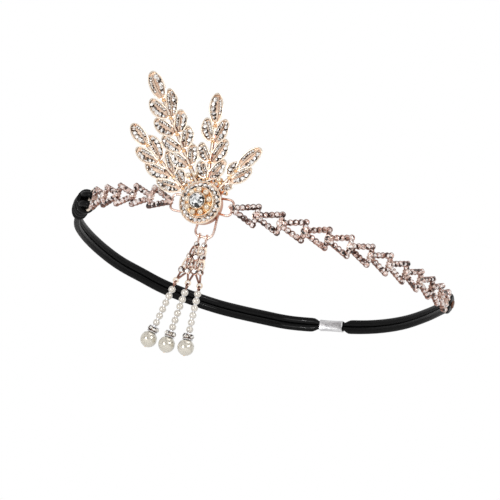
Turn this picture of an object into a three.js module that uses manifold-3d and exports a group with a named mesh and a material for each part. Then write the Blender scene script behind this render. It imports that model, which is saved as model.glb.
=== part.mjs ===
// A beaded leaf headband: medallion with four leaf sprays, chains of V-shaped links, pearl tassel, elastic.
// Millimetres. Origin in the middle of the head opening at the band's height, +Z up, forehead towards -Y.
// Angles on the band are in degrees from the forehead, positive to +X.

import * as THREE from 'three';
import { ConvexGeometry } from 'three/addons/geometries/ConvexGeometry.js';
import { mergeVertices } from 'three/addons/utils/BufferGeometryUtils.js';
import Module from 'manifold-3d';

const wasm = await Module();
wasm.setup();

// Fit between pieces
const CLEARANCE = 0.3;
const SOLDER_BITE = 0.8;
const SETTING_BITE = 0.1;
const STONE_SHARE = 0.85;
const SLIVER = 0.03;

// Band
const BAND_RADIUS = 86;
const BAND_DROP = 4;
const BAND_HEIGHTS = [
  { angle: -80, drop: 1.5 },
  { angle: -66, drop: 1.05 },
  { angle: -52, drop: 0.55 },
  { angle: -40, drop: 0.27 },
  { angle: -31, drop: 0.35 },
  { angle: -12.6, drop: -0.27 },
  { angle: -4, drop: -0.12 },
  { angle: 4, drop: 0 },
  { angle: 20, drop: 0 },
  { angle: 37, drop: 0.37 },
  { angle: 50, drop: 0.6 },
  { angle: 60, drop: 0.8 },
  { angle: 72, drop: 1 },
  { angle: 80, drop: 0.85 },
];

// Links
const LEFT_LINKS = 5;
const RIGHT_LINKS = 12;
const LINK_PITCH = 10.4;
const LINK_REACH = 11.6;
const LINK_SPREAD = 3.85;
const ARM_START = 1.0;
const ARM_START_SPREAD = 0.6;
const ARM_HALF_WIDTH = 1.0;
const ARM_BACK = -0.6;
const ARM_FRONT = 0.9;
const PIN_RADIUS = 0.4;
const PIN_SIDES = 6;
const EYE_WALL = 0.5;
const EYE_HALF_LENGTH = 1.0;
const CUP_RADIUS = 1.4;
const CUP_HEIGHT = 1.0;
const CUP_SIDES = 8;
const CUP_STONE_RADIUS = 1.2;
const CUP_STONE_HEIGHT = 0.6;

// Medallion
const MEDALLION_ANGLE = -21.2;
const LEFT_LUG_LENGTH = 5.3;
const RIGHT_LUG_LENGTH = 3.6;
const CASE_INSET = 1.6;
const CASE_RADIUS = 9.3;
const CASE_BACK_WIDTH = 8.5;
const CASE_HEIGHT = 5.7;
const CASE_SIDES = 28;
const RIM_WALL = 0.6;
const PAVE_FLOOR = 5.1;
const INNER_RIM_RADIUS = 6.45;
const INNER_RIM_WALL = 0.45;
const INNER_RIM_HEIGHT = 6.9;
const PEARL_FLOOR = 6.5;
const BEZEL_RADIUS = 3.7;
const BEZEL_FOOT_RADIUS = 2.9;
const BEZEL_WALL = 0.4;
const BEZEL_HEIGHT = 9.6;
const BEZEL_FLOOR = 8.2;
const PAVE_STONES = 24;
const PAVE_STONE_RADIUS = 0.9;
const PAVE_STONE_HEIGHT = 0.85;
const RIM_PEARLS = 9;
const RIM_PEARL_RADIUS = 1.25;
const BEAD_SIDES = 10;
const STONE_FACETS = 8;
const TABLE_SHARE = 0.58;
const LUG_WIRE = 0.42;
const LUG_HALF_WIDTH = 3.3;
const LUG_CORNER = 1.1;
const LUG_STEPS = 12;

// Bottom lug, from the medallion's centre
const BAIL_X = 3.7;
const BAIL_LENGTH = 3.9;
const BAIL_HALF_WIDTH = 3.9;
const BAIL_CORNER = 1.5;
const BAIL_LEVEL = 0.7;

// Leaf sprays, from the medallion's centre. Lengths along the stem are shares of the spray's own reach
const LEAF_WIDTH = 5.1;
const LEAF_BEND = 0.07;
const LEAF_BACK = 1.0;
const LEAF_THICKNESS = 1.35;
const STEM_RADIUS = 0.47;
const STEM_LIFT = 0.3;
const END_LEAF_LIFT = 0.15;
const SPRAYS = {
  left: {
    reach: 49.6, angle: 145.8, offset: 1.9, stem: 0.77, lift: 0.25,
    leaves: [
      { at: 0.742, side: 0, length: 0.258, lean: -3, width: 0.95 },
      { at: 0.552, side: -1, length: 0.27, lean: -11, width: 0.95 },
      { at: 0.55, side: 1, length: 0.27, lean: 19, width: 0.9 },
      { at: 0.375, side: -1, length: 0.24, lean: -25, width: 0.9 },
      { at: 0.369, side: 1, length: 0.29, lean: 22, width: 0.95 },
      { at: 0.24, side: -1, length: 0.173, lean: -19, width: 0.85 },
      { at: 0.226, side: 1, length: 0.26, lean: 29, width: 0.85 },
    ],
  },
  tall: {
    reach: 64.6, angle: 128.7, offset: -1.3, stem: 0.79, lift: 0.6,
    leaves: [
      { at: 0.777, side: 0, length: 0.223, lean: 2, width: 1.05 },
      { at: 0.628, side: -1, length: 0.213, lean: -16, width: 0.85 },
      { at: 0.641, side: 1, length: 0.2, lean: 24, width: 0.95 },
      { at: 0.509, side: -1, length: 0.172, lean: -28, width: 0.95 },
      { at: 0.517, side: 1, length: 0.195, lean: 32, width: 0.95 },
      { at: 0.395, side: -1, length: 0.163, lean: -31, width: 0.95 },
      { at: 0.387, side: 1, length: 0.19, lean: 31, width: 0.9 },
      { at: 0.268, side: -1, length: 0.155, lean: -26, width: 0.85 },
      { at: 0.266, side: 1, length: 0.185, lean: 28, width: 0.93 },
    ],
  },
  middle: {
    reach: 48.2, angle: 98.1, offset: -0.8, stem: 0.73, lift: 0.8,
    leaves: [
      { at: 0.712, side: 0, length: 0.288, lean: 5, width: 1 },
      { at: 0.541, side: -1, length: 0.243, lean: -22, width: 0.95 },
      { at: 0.55, side: 1, length: 0.238, lean: 22, width: 0.85 },
      { at: 0.365, side: -1, length: 0.255, lean: -29, width: 1 },
      { at: 0.373, side: 1, length: 0.203, lean: 32, width: 0.85 },
      { at: 0.222, side: -1, length: 0.228, lean: -37, width: 0.95 },
      { at: 0.228, side: 1, length: 0.178, lean: 31, width: 0.85 },
    ],
  },
  right: {
    reach: 34.1, angle: 60, offset: -0.9, stem: 0.62, lift: 0.3,
    leaves: [
      { at: 0.592, side: 0, length: 0.408, lean: -5, width: 1.05 },
      { at: 0.422, side: -1, length: 0.343, lean: -21, width: 0.95 },
      { at: 0.455, side: 1, length: 0.232, lean: 14, width: 0.85 },
      { at: 0.3, side: -1, length: 0.16, lean: -36, width: 0.6 },
    ],
  },
};
const LEAF_STATIONS = [
  { along: 0, width: 0.3, rise: 0 },
  { along: 0.28, width: 0.95, rise: 0.6 },
  { along: 0.7, width: 0.84, rise: 0.6 },
  { along: 1, width: 0.1, rise: 0 },
];
const LEAF_DOME = 0.5;
const LEAF_SECTION = [
  { across: -1, up: 1 },
  { across: 0, up: 0.6 },
  { across: 1, up: 1 },
  { across: 0.65, up: 0 },
  { across: -0.65, up: 0 },
];

// Collar between the case and the sprays, with its small pearls
const COLLAR_WIDTH = 4.4;
const COLLAR_START = 40;
const COLLAR_END = 158;
const COLLAR_BACK = 0.6;
const COLLAR_THICKNESS = 1.3;
const COLLAR_STEPS = 7;
const COLLAR_END_SHARE = 0.25;
const ACCENT_RADIUS = 1.15;
const ACCENT_CUP_RADIUS = 1.3;
const ACCENT_CUP_TOP = 3.2;
const ACCENTS = [
  { beyond: 4.3, angle: 131 },
  { beyond: 3.7, angle: 118.5 },
  { beyond: 3.0, angle: 66 },
];

// Centre stone
const CRYSTAL_HEIGHT = 2.6;
const CRYSTAL_GIRDLE = 0.5;
const CRYSTAL_STAR = { out: 0.82, up: 0.62 };
const CRYSTAL_FOOT = 0.3;

// Tassel net. Places across and down are shares of its width and its drop from the bottom lug
const NET_WIDTH = 11.4;
const NET_DROP = 20.4;
const NET_DRIFT = -0.6;
const NET_WIRE = 0.34;
const NET_WIRE_SIDES = 5;
const NET_CUP_THICKNESS = 1.5;
const NET_CUP_SIDES = 8;
const NET_STONE_CUPS = 'dfh';
const NET_HOOK_RADIUS = 1.15;
const NET_HOOK_STEPS = 8;
const NET_STONE_HEIGHT = 0.5;
const NET_CUPS = [
  { name: 'a', across: -0.13, down: 0.18, radius: 0.95 },
  { name: 'b', across: 0.17, down: 0.17, radius: 0.95 },
  { name: 'c', across: -0.26, down: 0.45, radius: 1.05 },
  { name: 'd', across: 0.0, down: 0.45, radius: 1.25 },
  { name: 'e', across: 0.25, down: 0.42, radius: 1.05 },
  { name: 'f', across: -0.4, down: 0.76, radius: 1.15 },
  { name: 'g', across: -0.15, down: 0.76, radius: 1.15 },
  { name: 'h', across: 0.12, down: 0.74, radius: 1.25 },
  { name: 'i', across: 0.35, down: 0.73, radius: 1.05 },
];
const NET_WIRES = ['ac', 'ad', 'bd', 'be', 'cf', 'cg', 'dg', 'dh', 'eh', 'ei'];
const NET_EYES = [
  { across: -0.5, cups: 'fg' },
  { across: -0.01, cups: 'gh' },
  { across: 0.47, cups: 'hi' },
];
const EYE_LOOP_RADIUS = 1.0;
const EYE_LOOP_STEPS = 8;

// Pearl strings and drops. Each string leans from straight down, and its beads start below its loop
const STRING_BEADS = 6;
const STRING_BEAD_RADIUS = 1.5;
const STRING_BEAD_GAP = 0.05;
const STRING_WIRE = 0.3;
const BEAD_PROFILE = [
  { up: -1, out: 0 },
  { up: -0.68, out: 0.7 },
  { up: 0, out: 1 },
  { up: 0.68, out: 0.7 },
];
const DROP_PEARL_RADIUS = 3.5;
const DROP_PEARL_SIDES = 12;
const DROP_PEARL_RINGS = 7;
const DROP_BORE_RADIUS = 0.75;
const DROP_PEG_DEPTH = 2.2;
const RONDELLE_RADIUS = 2.25;
const RONDELLE_HEIGHT = 2.0;
const RONDELLE_SIDES = 10;
const RONDELLE_FACE = 0.78;
const RONDELLE_BEVEL = 0.3;
const STRINGS = [
  { lean: -9.8, leader: 1.5 },
  { lean: -3.3, leader: 1.5 },
  { lean: 3.8, leader: 0.8 },
];

// Chain ends
const END_PLATE_WIDTH = 9.6;
const END_PLATE_LENGTH = 3.2;
const RING_PLATE_LENGTH = 1.5;
const END_STONE_RADIUS = 1.05;
const END_STONE_GAP = 0.2;
const POST_RADIUS = 0.9;
const POST_HEAD_RADIUS = 2.1;
const POST_HEAD_THICKNESS = 0.7;
const POST_SIDES = 12;
const TONGUE_HALF_WIDTH = 1.3;
const TONGUE_WALL = 1.6;
const RING_WIRE = 0.6;
const RING_HALF_WIDTH = 4.6;
const RING_ROOT_INSET = 0.6;

// Elastic
const ELASTIC_HEIGHT = 3.5;
const ELASTIC_THICKNESS = 2.6;
const STRAND_GAP = 0.2;
const ELASTIC_SIDES = 8;
const ELASTIC_STEP = 14;
const BIGHT_STEPS = 6;
const KNOT_LENGTH = 7.5;
const KNOT_CORD_SHARE = 0.55;
const KNOT_BAND_PLACE = 0.55;
const KNOT_BAND_SHARE = 0.375;
const KNOT_SIDES = 6;
const KNOT_BAND_HALF_HEIGHT = 4.3;
const KNOT_STEPS = 7;
const KNOT_SPREAD = 2.1;
const ELASTIC_DROP = 22.6;
const ELASTIC_ROUTE = [
  { angle: 80, drop: 0.14 },
  { angle: 88, drop: 0.08 },
  { angle: 98, drop: 0.06 },
  { angle: 111.7, drop: 0.21 },
  { angle: 123.6, drop: 0.41 },
  { angle: 133.6, drop: 0.56 },
  { angle: 142.5, drop: 0.67 },
  { angle: 152.7, drop: 0.77 },
  { angle: 166.3, drop: 0.91 },
  { angle: 175, drop: 0.95 },
  { angle: 189.6, drop: 1 },
  { angle: 200, drop: 0.99 },
  { angle: 210.3, drop: 0.955 },
  { angle: 219.2, drop: 0.885 },
  { angle: 228.7, drop: 0.823 },
  { angle: 237.4, drop: 0.739 },
  { angle: 251, drop: 0.606 },
  { angle: 267.4, drop: 0.487 },
  { angle: 276, drop: 0.36 },
];

// Places that follow from the sizes above
const CASE_BACK_RADIUS = BAND_RADIUS - CASE_INSET;
const LEFT_LUG_REACH = CASE_RADIUS + LEFT_LUG_LENGTH;
const RIGHT_LUG_REACH = CASE_RADIUS + RIGHT_LUG_LENGTH;
const BAIL_Y = -CASE_RADIUS - BAIL_LENGTH;
const END_PLATE_START = LINK_REACH - LINK_PITCH + ARM_HALF_WIDTH / 2 + CLEARANCE;
const BIGHT_RADIUS = POST_RADIUS + CLEARANCE + ELASTIC_HEIGHT / 2;
const POST_REACH = END_PLATE_START + END_PLATE_LENGTH + CLEARANCE + BIGHT_RADIUS + ELASTIC_HEIGHT / 2;
const KNOT_RADIUS = ELASTIC_THICKNESS * KNOT_CORD_SHARE;
const RING_REACH = END_PLATE_START + RING_PLATE_LENGTH + RING_WIRE + 2 * CLEARANCE + 2 * KNOT_RADIUS;

// Crimp on the elastic
const CRIMP_ANGLE = 152.2;
const CRIMP_LENGTH = 12;
const CRIMP_WALL = 0.45;
const CRIMP_STRAND_SHARE = 0.56;
const CRIMP_TAPER = 4;
const CRIMP_CORNER = 0.6;

const RAD = Math.PI / 180;

const METAL_ROSE = new THREE.MeshStandardMaterial({ color: 0xe8b79a, metalness: 1, roughness: 0.22 });
const METAL_SILVER = new THREE.MeshStandardMaterial({ color: 0xc9ccd0, metalness: 1, roughness: 0.3 });
const STONE = new THREE.MeshStandardMaterial({ color: 0xf4f6f8, metalness: 0, roughness: 0.04 });
const PEARL = new THREE.MeshStandardMaterial({ color: 0xf3ecdc, metalness: 0, roughness: 0.18 });
const CLOTH_BLACK = new THREE.MeshStandardMaterial({ color: 0x0b0b0c, metalness: 0, roughness: 0.75 });

// Solids

function toSolid(geometry) {
  const bare = geometry.index ? geometry.toNonIndexed() : geometry.clone();
  bare.deleteAttribute('normal');
  bare.deleteAttribute('uv');
  const merged = mergeVertices(bare, 1e-4);
  return new wasm.Manifold(new wasm.Mesh({
    numProp: 3,
    vertProperties: new Float32Array(merged.attributes.position.array),
    triVerts: new Uint32Array(merged.index.array),
  }));
}

function toGeometry(solid) {
  const mesh = solid.simplify(SLIVER).getMesh();
  const geometry = new THREE.BufferGeometry();
  geometry.setAttribute('position', new THREE.BufferAttribute(new Float32Array(mesh.vertProperties), 3));
  geometry.setIndex(new THREE.BufferAttribute(new Uint32Array(mesh.triVerts), 1));
  geometry.computeVertexNormals();
  return geometry;
}

function unite(geometries) {
  const solids = geometries.map(toSolid);
  return solids.slice(1).reduce((sum, solid) => sum.add(solid), solids[0]);
}

// One skin without the sealed pockets that crossing leaves enclose
function withoutPockets(solid) {
  const skins = solid.decompose().filter((skin) => skin.volume() > 0);
  return skins.slice(1).reduce((sum, skin) => sum.add(skin), skins[0]);
}

function vector(x, y, z = 0) {
  return new THREE.Vector3(x, y, z);
}

function polar(radius, angle, z = 0) {
  return vector(radius * Math.cos(angle * RAD), radius * Math.sin(angle * RAD), z);
}

// Closed skin over a row of rings that all have as many points
function loft(rings) {
  const count = rings[0].length;
  const index = [];
  for (let r = 0; r + 1 < rings.length; r += 1) {
    for (let i = 0; i < count; i += 1) {
      const a = r * count + i;
      const b = r * count + (i + 1) % count;
      index.push(a, b, b + count, a, b + count, a + count);
    }
  }
  const last = (rings.length - 1) * count;
  for (let i = 1; i + 1 < count; i += 1) {
    index.push(0, i + 1, i);
    index.push(last, last + i, last + i + 1);
  }
  const geometry = new THREE.BufferGeometry().setFromPoints(rings.flat());
  geometry.setIndex(index);
  return facingOut(geometry);
}

function facingOut(geometry) {
  const p = geometry.attributes.position;
  const order = geometry.index.array;
  const [a, b, c] = [vector(0, 0), vector(0, 0), vector(0, 0)];
  let volume = 0;
  for (let i = 0; i < order.length; i += 3) {
    a.fromBufferAttribute(p, order[i]);
    b.fromBufferAttribute(p, order[i + 1]);
    c.fromBufferAttribute(p, order[i + 2]);
    volume += a.dot(b.cross(c));
  }
  if (volume < 0) geometry.setIndex(Array.from(order).reverse());
  return geometry;
}

function oval(centre, u, v, halfU, halfV, sides) {
  const ring = [];
  for (let i = 0; i < sides; i += 1) {
    const turn = (i + 0.5) / sides * 2 * Math.PI;
    ring.push(centre.clone()
      .addScaledVector(u, halfU * Math.cos(turn))
      .addScaledVector(v, halfV * Math.sin(turn)));
  }
  return ring;
}

// Bent round wire through a few points in one plane, whose normal is given
function bentWire(points, radius, steps, sides, normal) {
  const curve = new THREE.CatmullRomCurve3(points, false, 'catmullrom', 0.5);
  const rings = [];
  for (let i = 0; i <= steps; i += 1) {
    const along = curve.getTangentAt(i / steps);
    const side = along.clone().cross(normal).normalize();
    const up = side.clone().cross(along).normalize();
    rings.push(oval(curve.getPointAt(i / steps), side, up, radius, radius, sides));
  }
  return loft(rings);
}

function rod(from, to, radius, sides) {
  const along = to.clone().sub(from);
  const geometry = new THREE.CylinderGeometry(radius, radius, along.length(), sides);
  const turn = new THREE.Quaternion().setFromUnitVectors(vector(0, 1, 0), along.normalize());
  const middle = from.clone().add(to).multiplyScalar(0.5);
  return geometry.applyQuaternion(turn).translate(middle.x, middle.y, middle.z);
}

// Upright drum along +Z
function drum(radius, from, to, sides, x = 0, y = 0) {
  return new THREE.CylinderGeometry(radius, radius, to - from, sides)
    .rotateX(Math.PI / 2)
    .translate(x, y, (from + to) / 2);
}

function box(x0, x1, y0, y1, z0, z1) {
  return new THREE.BoxGeometry(x1 - x0, y1 - y0, z1 - z0)
    .translate((x0 + x1) / 2, (y0 + y1) / 2, (z0 + z1) / 2);
}

// Crown of a cut stone: a table above a girdle, with slanted facets between them
function crown(radius, from, to, x = 0, y = 0) {
  const points = [];
  for (let i = 0; i < STONE_FACETS; i += 1) {
    const turn = i / STONE_FACETS * 360;
    points.push(polar(radius, turn, from));
    points.push(polar(radius * TABLE_SHARE, turn + 180 / STONE_FACETS, to));
  }
  return new ConvexGeometry(points).translate(x, y, 0);
}

function bead(radius, sides = BEAD_SIDES, rings = BEAD_SIDES / 2) {
  return new THREE.SphereGeometry(radius, sides, rings).rotateX(Math.PI / 2);
}

function ringLoop(radius, wire, steps, axis) {
  const geometry = new THREE.TorusGeometry(radius, wire, NET_WIRE_SIDES, steps);
  const turn = new THREE.Quaternion().setFromUnitVectors(vector(0, 0, 1), axis);
  return geometry.applyQuaternion(turn);
}

// Places on the head

function bandHeight(angle) {
  const rows = BAND_HEIGHTS;
  const found = rows.findIndex((row) => row.angle >= angle);
  const next = found < 0 ? rows.length - 1 : Math.max(1, found);
  const [a, b] = [rows[next - 1], rows[next]];
  const share = (angle - a.angle) / (b.angle - a.angle);
  return -BAND_DROP * (a.drop + (b.drop - a.drop) * share);
}

function onBand(angle, height = bandHeight(angle)) {
  return vector(BAND_RADIUS * Math.sin(angle * RAD), -BAND_RADIUS * Math.cos(angle * RAD), height);
}

function outward(angle) {
  return vector(Math.sin(angle * RAD), -Math.cos(angle * RAD), 0);
}

// Frame at one pin, whose X runs to the next pin and whose Z faces away from the head
function chainFrame(from, to) {
  const x = to.clone().sub(from).normalize();
  const outside = vector(from.x + to.x, from.y + to.y, 0).normalize();
  const y = outside.cross(x).normalize();
  const z = x.clone().cross(y).normalize();
  return new THREE.Matrix4().makeBasis(x, y, z).setPosition(from);
}

function medallionFrame() {
  const z = outward(MEDALLION_ANGLE);
  const y = vector(0, 0, 1);
  const x = y.clone().cross(z);
  return new THREE.Matrix4().makeBasis(x, y, z).setPosition(z.clone().multiplyScalar(CASE_BACK_RADIUS));
}

const MEDALLION_FRAME = medallionFrame();
const MEDALLION_INVERSE = MEDALLION_FRAME.clone().invert();

function angleOfChord(chord) {
  return 2 * Math.asin(chord / 2 / BAND_RADIUS) / RAD;
}

const LEFT_START = MEDALLION_ANGLE - Math.asin(LEFT_LUG_REACH / BAND_RADIUS) / RAD;
const RIGHT_START = MEDALLION_ANGLE + Math.asin(RIGHT_LUG_REACH / BAND_RADIUS) / RAD;
const LEFT_END = LEFT_START - LEFT_LINKS * angleOfChord(LINK_PITCH);
const RIGHT_END = RIGHT_START + RIGHT_LINKS * angleOfChord(LINK_PITCH);
const POST_ANGLE = RIGHT_END + angleOfChord(POST_REACH);
const RING_ANGLE = LEFT_END - angleOfChord(RING_REACH);

// Assembly

const headband = new THREE.Group();
headband.name = 'leaf_headband';

function addPiece(name, geometry, material, frame = new THREE.Matrix4()) {
  const mesh = new THREE.Mesh(geometry, material);
  mesh.name = name;
  mesh.applyMatrix4(frame);
  headband.add(mesh);
}

function numbered(name, number) {
  return `${name}_${String(number).padStart(2, '0')}`;
}

// Eye barrel round the pin of the piece before it
function eyeBarrel() {
  const inner = (PIN_RADIUS + CLEARANCE) / Math.cos(Math.PI / PIN_SIDES);
  const outline = (radius) => Array.from({ length: PIN_SIDES }, (_, i) => {
    const point = polar(radius, (i + 0.5) * 360 / PIN_SIDES);
    return new THREE.Vector2(point.x, point.y);
  });
  const shape = new THREE.Shape(outline(inner + EYE_WALL));
  shape.holes.push(new THREE.Path(outline(inner).reverse()));
  return new THREE.ExtrudeGeometry(shape, { depth: 2 * EYE_HALF_LENGTH, bevelEnabled: false })
    .translate(0, 0, -EYE_HALF_LENGTH)
    .rotateX(Math.PI / 2);
}

function linkArm(side) {
  const start = vector(ARM_START, side * ARM_START_SPREAD);
  const end = vector(LINK_REACH, side * LINK_SPREAD);
  const along = end.clone().sub(start);
  return box(0, along.length(), -ARM_HALF_WIDTH, ARM_HALF_WIDTH, ARM_BACK, ARM_FRONT)
    .rotateZ(Math.atan2(along.y, along.x))
    .translate(start.x, start.y, 0);
}

function linkSolid() {
  const share = (LINK_PITCH - ARM_START) / (LINK_REACH - ARM_START);
  const pinHalf = ARM_START_SPREAD + (LINK_SPREAD - ARM_START_SPREAD) * share;
  const cupTop = ARM_FRONT + CUP_HEIGHT;
  return unite([
    eyeBarrel(),
    linkArm(1),
    linkArm(-1),
    drum(CUP_RADIUS, ARM_FRONT - SETTING_BITE, cupTop, CUP_SIDES),
    crown(CUP_STONE_RADIUS, cupTop - SETTING_BITE, cupTop + CUP_STONE_HEIGHT),
    rod(vector(LINK_PITCH, -pinHalf), vector(LINK_PITCH, pinHalf), PIN_RADIUS, PIN_SIDES),
  ]);
}

function addLinks() {
  const geometry = toGeometry(linkSolid());
  const step = angleOfChord(LINK_PITCH);
  for (let i = 0; i < LEFT_LINKS; i += 1) {
    const frame = chainFrame(onBand(LEFT_START - i * step), onBand(LEFT_START - (i + 1) * step));
    addPiece(numbered('left_link', i + 1), geometry, METAL_ROSE, frame);
  }
  for (let i = 0; i < RIGHT_LINKS; i += 1) {
    const frame = chainFrame(onBand(RIGHT_START + i * step), onBand(RIGHT_START + (i + 1) * step));
    addPiece(numbered('right_link', i + 1), geometry, METAL_ROSE, frame);
  }
}

// Medallion

function caseBody() {
  const inner = INNER_RIM_RADIUS - INNER_RIM_WALL;
  const profile = [
    [0, 0],
    [CASE_BACK_WIDTH, 0],
    [CASE_RADIUS, CASE_HEIGHT - RIM_WALL],
    [CASE_RADIUS, CASE_HEIGHT],
    [CASE_RADIUS - RIM_WALL, CASE_HEIGHT],
    [CASE_RADIUS - RIM_WALL, PAVE_FLOOR],
    [INNER_RIM_RADIUS, PAVE_FLOOR],
    [INNER_RIM_RADIUS, INNER_RIM_HEIGHT],
    [inner, INNER_RIM_HEIGHT],
    [inner, PEARL_FLOOR],
    [BEZEL_FOOT_RADIUS, PEARL_FLOOR],
    [BEZEL_RADIUS, BEZEL_HEIGHT],
    [BEZEL_RADIUS - BEZEL_WALL, BEZEL_HEIGHT],
    [BEZEL_RADIUS - BEZEL_WALL, BEZEL_FLOOR],
    [0, BEZEL_FLOOR],
  ];
  const points = profile.map(([radius, height]) => new THREE.Vector2(radius, height));
  return new THREE.LatheGeometry(points, CASE_SIDES).rotateX(Math.PI / 2);
}

function paveStones() {
  const middle = (CASE_RADIUS - RIM_WALL + INNER_RIM_RADIUS) / 2;
  return Array.from({ length: PAVE_STONES }, (_, i) => {
    const place = polar(middle, i * 360 / PAVE_STONES);
    return crown(PAVE_STONE_RADIUS, PAVE_FLOOR - SETTING_BITE, PAVE_FLOOR + PAVE_STONE_HEIGHT,
      place.x, place.y);
  });
}

// Wire lug at one side of the case, whose outer bar is the first pin of a chain
function sideLug(startAngle) {
  const bar = onBand(startAngle).applyMatrix4(MEDALLION_INVERSE);
  const side = Math.sign(bar.x);
  const root = (y) => side * (Math.sqrt(CASE_BACK_WIDTH ** 2 - y ** 2) - SOLDER_BITE);
  const [low, high] = [bar.y - LUG_HALF_WIDTH, bar.y + LUG_HALF_WIDTH];
  const inset = side * LUG_CORNER;
  const level = bar.z;
  const points = [
    vector(root(low), low, level),
    vector(bar.x - inset, low, level),
    vector(bar.x, low + LUG_CORNER, level),
    vector(bar.x, bar.y, level),
    vector(bar.x, high - LUG_CORNER, level),
    vector(bar.x - inset, high, level),
    vector(root(high), high, level),
  ];
  return bentWire(points, LUG_WIRE, LUG_STEPS, PIN_SIDES, vector(0, 0, 1));
}

function bottomLug() {
  const root = (x) => -Math.sqrt(CASE_BACK_WIDTH ** 2 - x ** 2) + SOLDER_BITE;
  const [left, right] = [BAIL_X - BAIL_HALF_WIDTH, BAIL_X + BAIL_HALF_WIDTH];
  const points = [
    vector(left, root(left), BAIL_LEVEL),
    vector(left, BAIL_Y + BAIL_CORNER, BAIL_LEVEL),
    vector(left + BAIL_CORNER, BAIL_Y, BAIL_LEVEL),
    vector(BAIL_X, BAIL_Y, BAIL_LEVEL),
    vector(right - BAIL_CORNER, BAIL_Y, BAIL_LEVEL),
    vector(right, BAIL_Y + BAIL_CORNER, BAIL_LEVEL),
    vector(right, root(right), BAIL_LEVEL),
  ];
  return bentWire(points, LUG_WIRE, LUG_STEPS, PIN_SIDES, vector(0, 0, 1));
}

// Leaf from its foot to its tip, along +X in the plane of the spray
function leaf(length, width, bendSide) {
  const rings = LEAF_STATIONS.map((station) => {
    const half = LEAF_WIDTH / 2 * width * station.width;
    const bend = bendSide * LEAF_BEND * length * Math.sin(station.along * Math.PI);
    return LEAF_SECTION.map((point) => vector(
      station.along * length,
      bend + point.across * half,
      point.up * LEAF_THICKNESS + station.rise * LEAF_DOME,
    ));
  });
  return loft(rings);
}

function sprayParts(spray) {
  const turn = new THREE.Matrix4().makeRotationZ(spray.angle * RAD);
  const root = polar(1, spray.angle + 90).multiplyScalar(spray.offset);
  const base = LEAF_BACK + spray.lift;
  const frame = turn.clone().setPosition(root.x, root.y, base);
  const parts = [
    box(CASE_BACK_WIDTH - 2 * SOLDER_BITE, spray.stem * spray.reach, -STEM_RADIUS, STEM_RADIUS,
      STEM_LIFT, STEM_LIFT + 2 * STEM_RADIUS),
  ];
  for (const row of spray.leaves) {
    const foot = row.at * spray.reach;
    const place = new THREE.Matrix4().makeRotationZ(row.lean * RAD)
      .setPosition(foot, row.side * STEM_RADIUS / 2, row.side ? 0 : END_LEAF_LIFT);
    parts.push(leaf(row.length * spray.reach, row.width, row.side).applyMatrix4(place));
  }
  return parts.map((part) => part.applyMatrix4(frame));
}

function collar() {
  const [inner, outer] = [[], []];
  for (let i = 0; i <= COLLAR_STEPS; i += 1) {
    const angle = COLLAR_START + (COLLAR_END - COLLAR_START) * i / COLLAR_STEPS;
    const bulge = Math.sin(i / COLLAR_STEPS * Math.PI);
    inner.unshift(polar(CASE_BACK_WIDTH - SOLDER_BITE, angle));
    const share = COLLAR_END_SHARE + (1 - COLLAR_END_SHARE) * bulge;
    outer.push(polar(CASE_RADIUS + COLLAR_WIDTH * share, angle));
  }
  const shape = new THREE.Shape([...outer, ...inner].map((point) => new THREE.Vector2(point.x, point.y)));
  return new THREE.ExtrudeGeometry(shape, { depth: COLLAR_THICKNESS, bevelEnabled: false })
    .translate(0, 0, COLLAR_BACK);
}

function accentCups() {
  return ACCENTS.map((accent) => {
    const place = polar(CASE_RADIUS + accent.beyond, accent.angle);
    return drum(ACCENT_CUP_RADIUS, COLLAR_BACK + SETTING_BITE, ACCENT_CUP_TOP, CUP_SIDES, place.x, place.y);
  });
}

function addBrooch() {
  const parts = [
    caseBody(),
    ...paveStones(),
    sideLug(LEFT_START),
    sideLug(RIGHT_START),
    bottomLug(),
    collar(),
    ...accentCups(),
    ...Object.values(SPRAYS).flatMap(sprayParts),
  ];
  addPiece('brooch_frame', toGeometry(withoutPockets(unite(parts))), METAL_ROSE, MEDALLION_FRAME);
}

function addBroochPearls() {
  const channel = (INNER_RIM_RADIUS - INNER_RIM_WALL + BEZEL_RADIUS) / 2;
  const seat = PEARL_FLOOR + CLEARANCE + RIM_PEARL_RADIUS;
  for (let i = 0; i < RIM_PEARLS; i += 1) {
    const place = polar(channel, (i + 0.5) * 360 / RIM_PEARLS, seat);
    const frame = MEDALLION_FRAME.clone().multiply(new THREE.Matrix4().setPosition(place));
    addPiece(numbered('rim_pearl', i + 1), bead(RIM_PEARL_RADIUS), PEARL, frame);
  }
  ACCENTS.forEach((accent, i) => {
    const height = ACCENT_CUP_TOP + CLEARANCE + ACCENT_RADIUS;
    const place = polar(CASE_RADIUS + accent.beyond, accent.angle, height);
    const frame = MEDALLION_FRAME.clone().multiply(new THREE.Matrix4().setPosition(place));
    addPiece(numbered('accent_pearl', i + 1), bead(ACCENT_RADIUS), PEARL, frame);
  });
}

function addCrystal() {
  const girdle = BEZEL_RADIUS - BEZEL_WALL - CLEARANCE;
  const foot = BEZEL_FLOOR + CLEARANCE;
  const top = foot + CRYSTAL_HEIGHT;
  const middle = BEZEL_HEIGHT;
  const points = [];
  for (let i = 0; i < 2 * STONE_FACETS; i += 1) {
    const turn = i * 180 / STONE_FACETS;
    points.push(polar(girdle, turn, middle - CRYSTAL_GIRDLE / 2));
    points.push(polar(girdle, turn, middle + CRYSTAL_GIRDLE / 2));
  }
  for (let i = 0; i < STONE_FACETS; i += 1) {
    const turn = i * 360 / STONE_FACETS;
    points.push(polar(girdle * CRYSTAL_STAR.out, turn, middle + (top - middle) * CRYSTAL_STAR.up));
    points.push(polar(girdle * TABLE_SHARE, turn + 180 / STONE_FACETS, top));
    points.push(polar(girdle * CRYSTAL_FOOT, turn, foot));
  }
  addPiece('centre_crystal', new ConvexGeometry(points), STONE, MEDALLION_FRAME);
}

// Tassel

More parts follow.
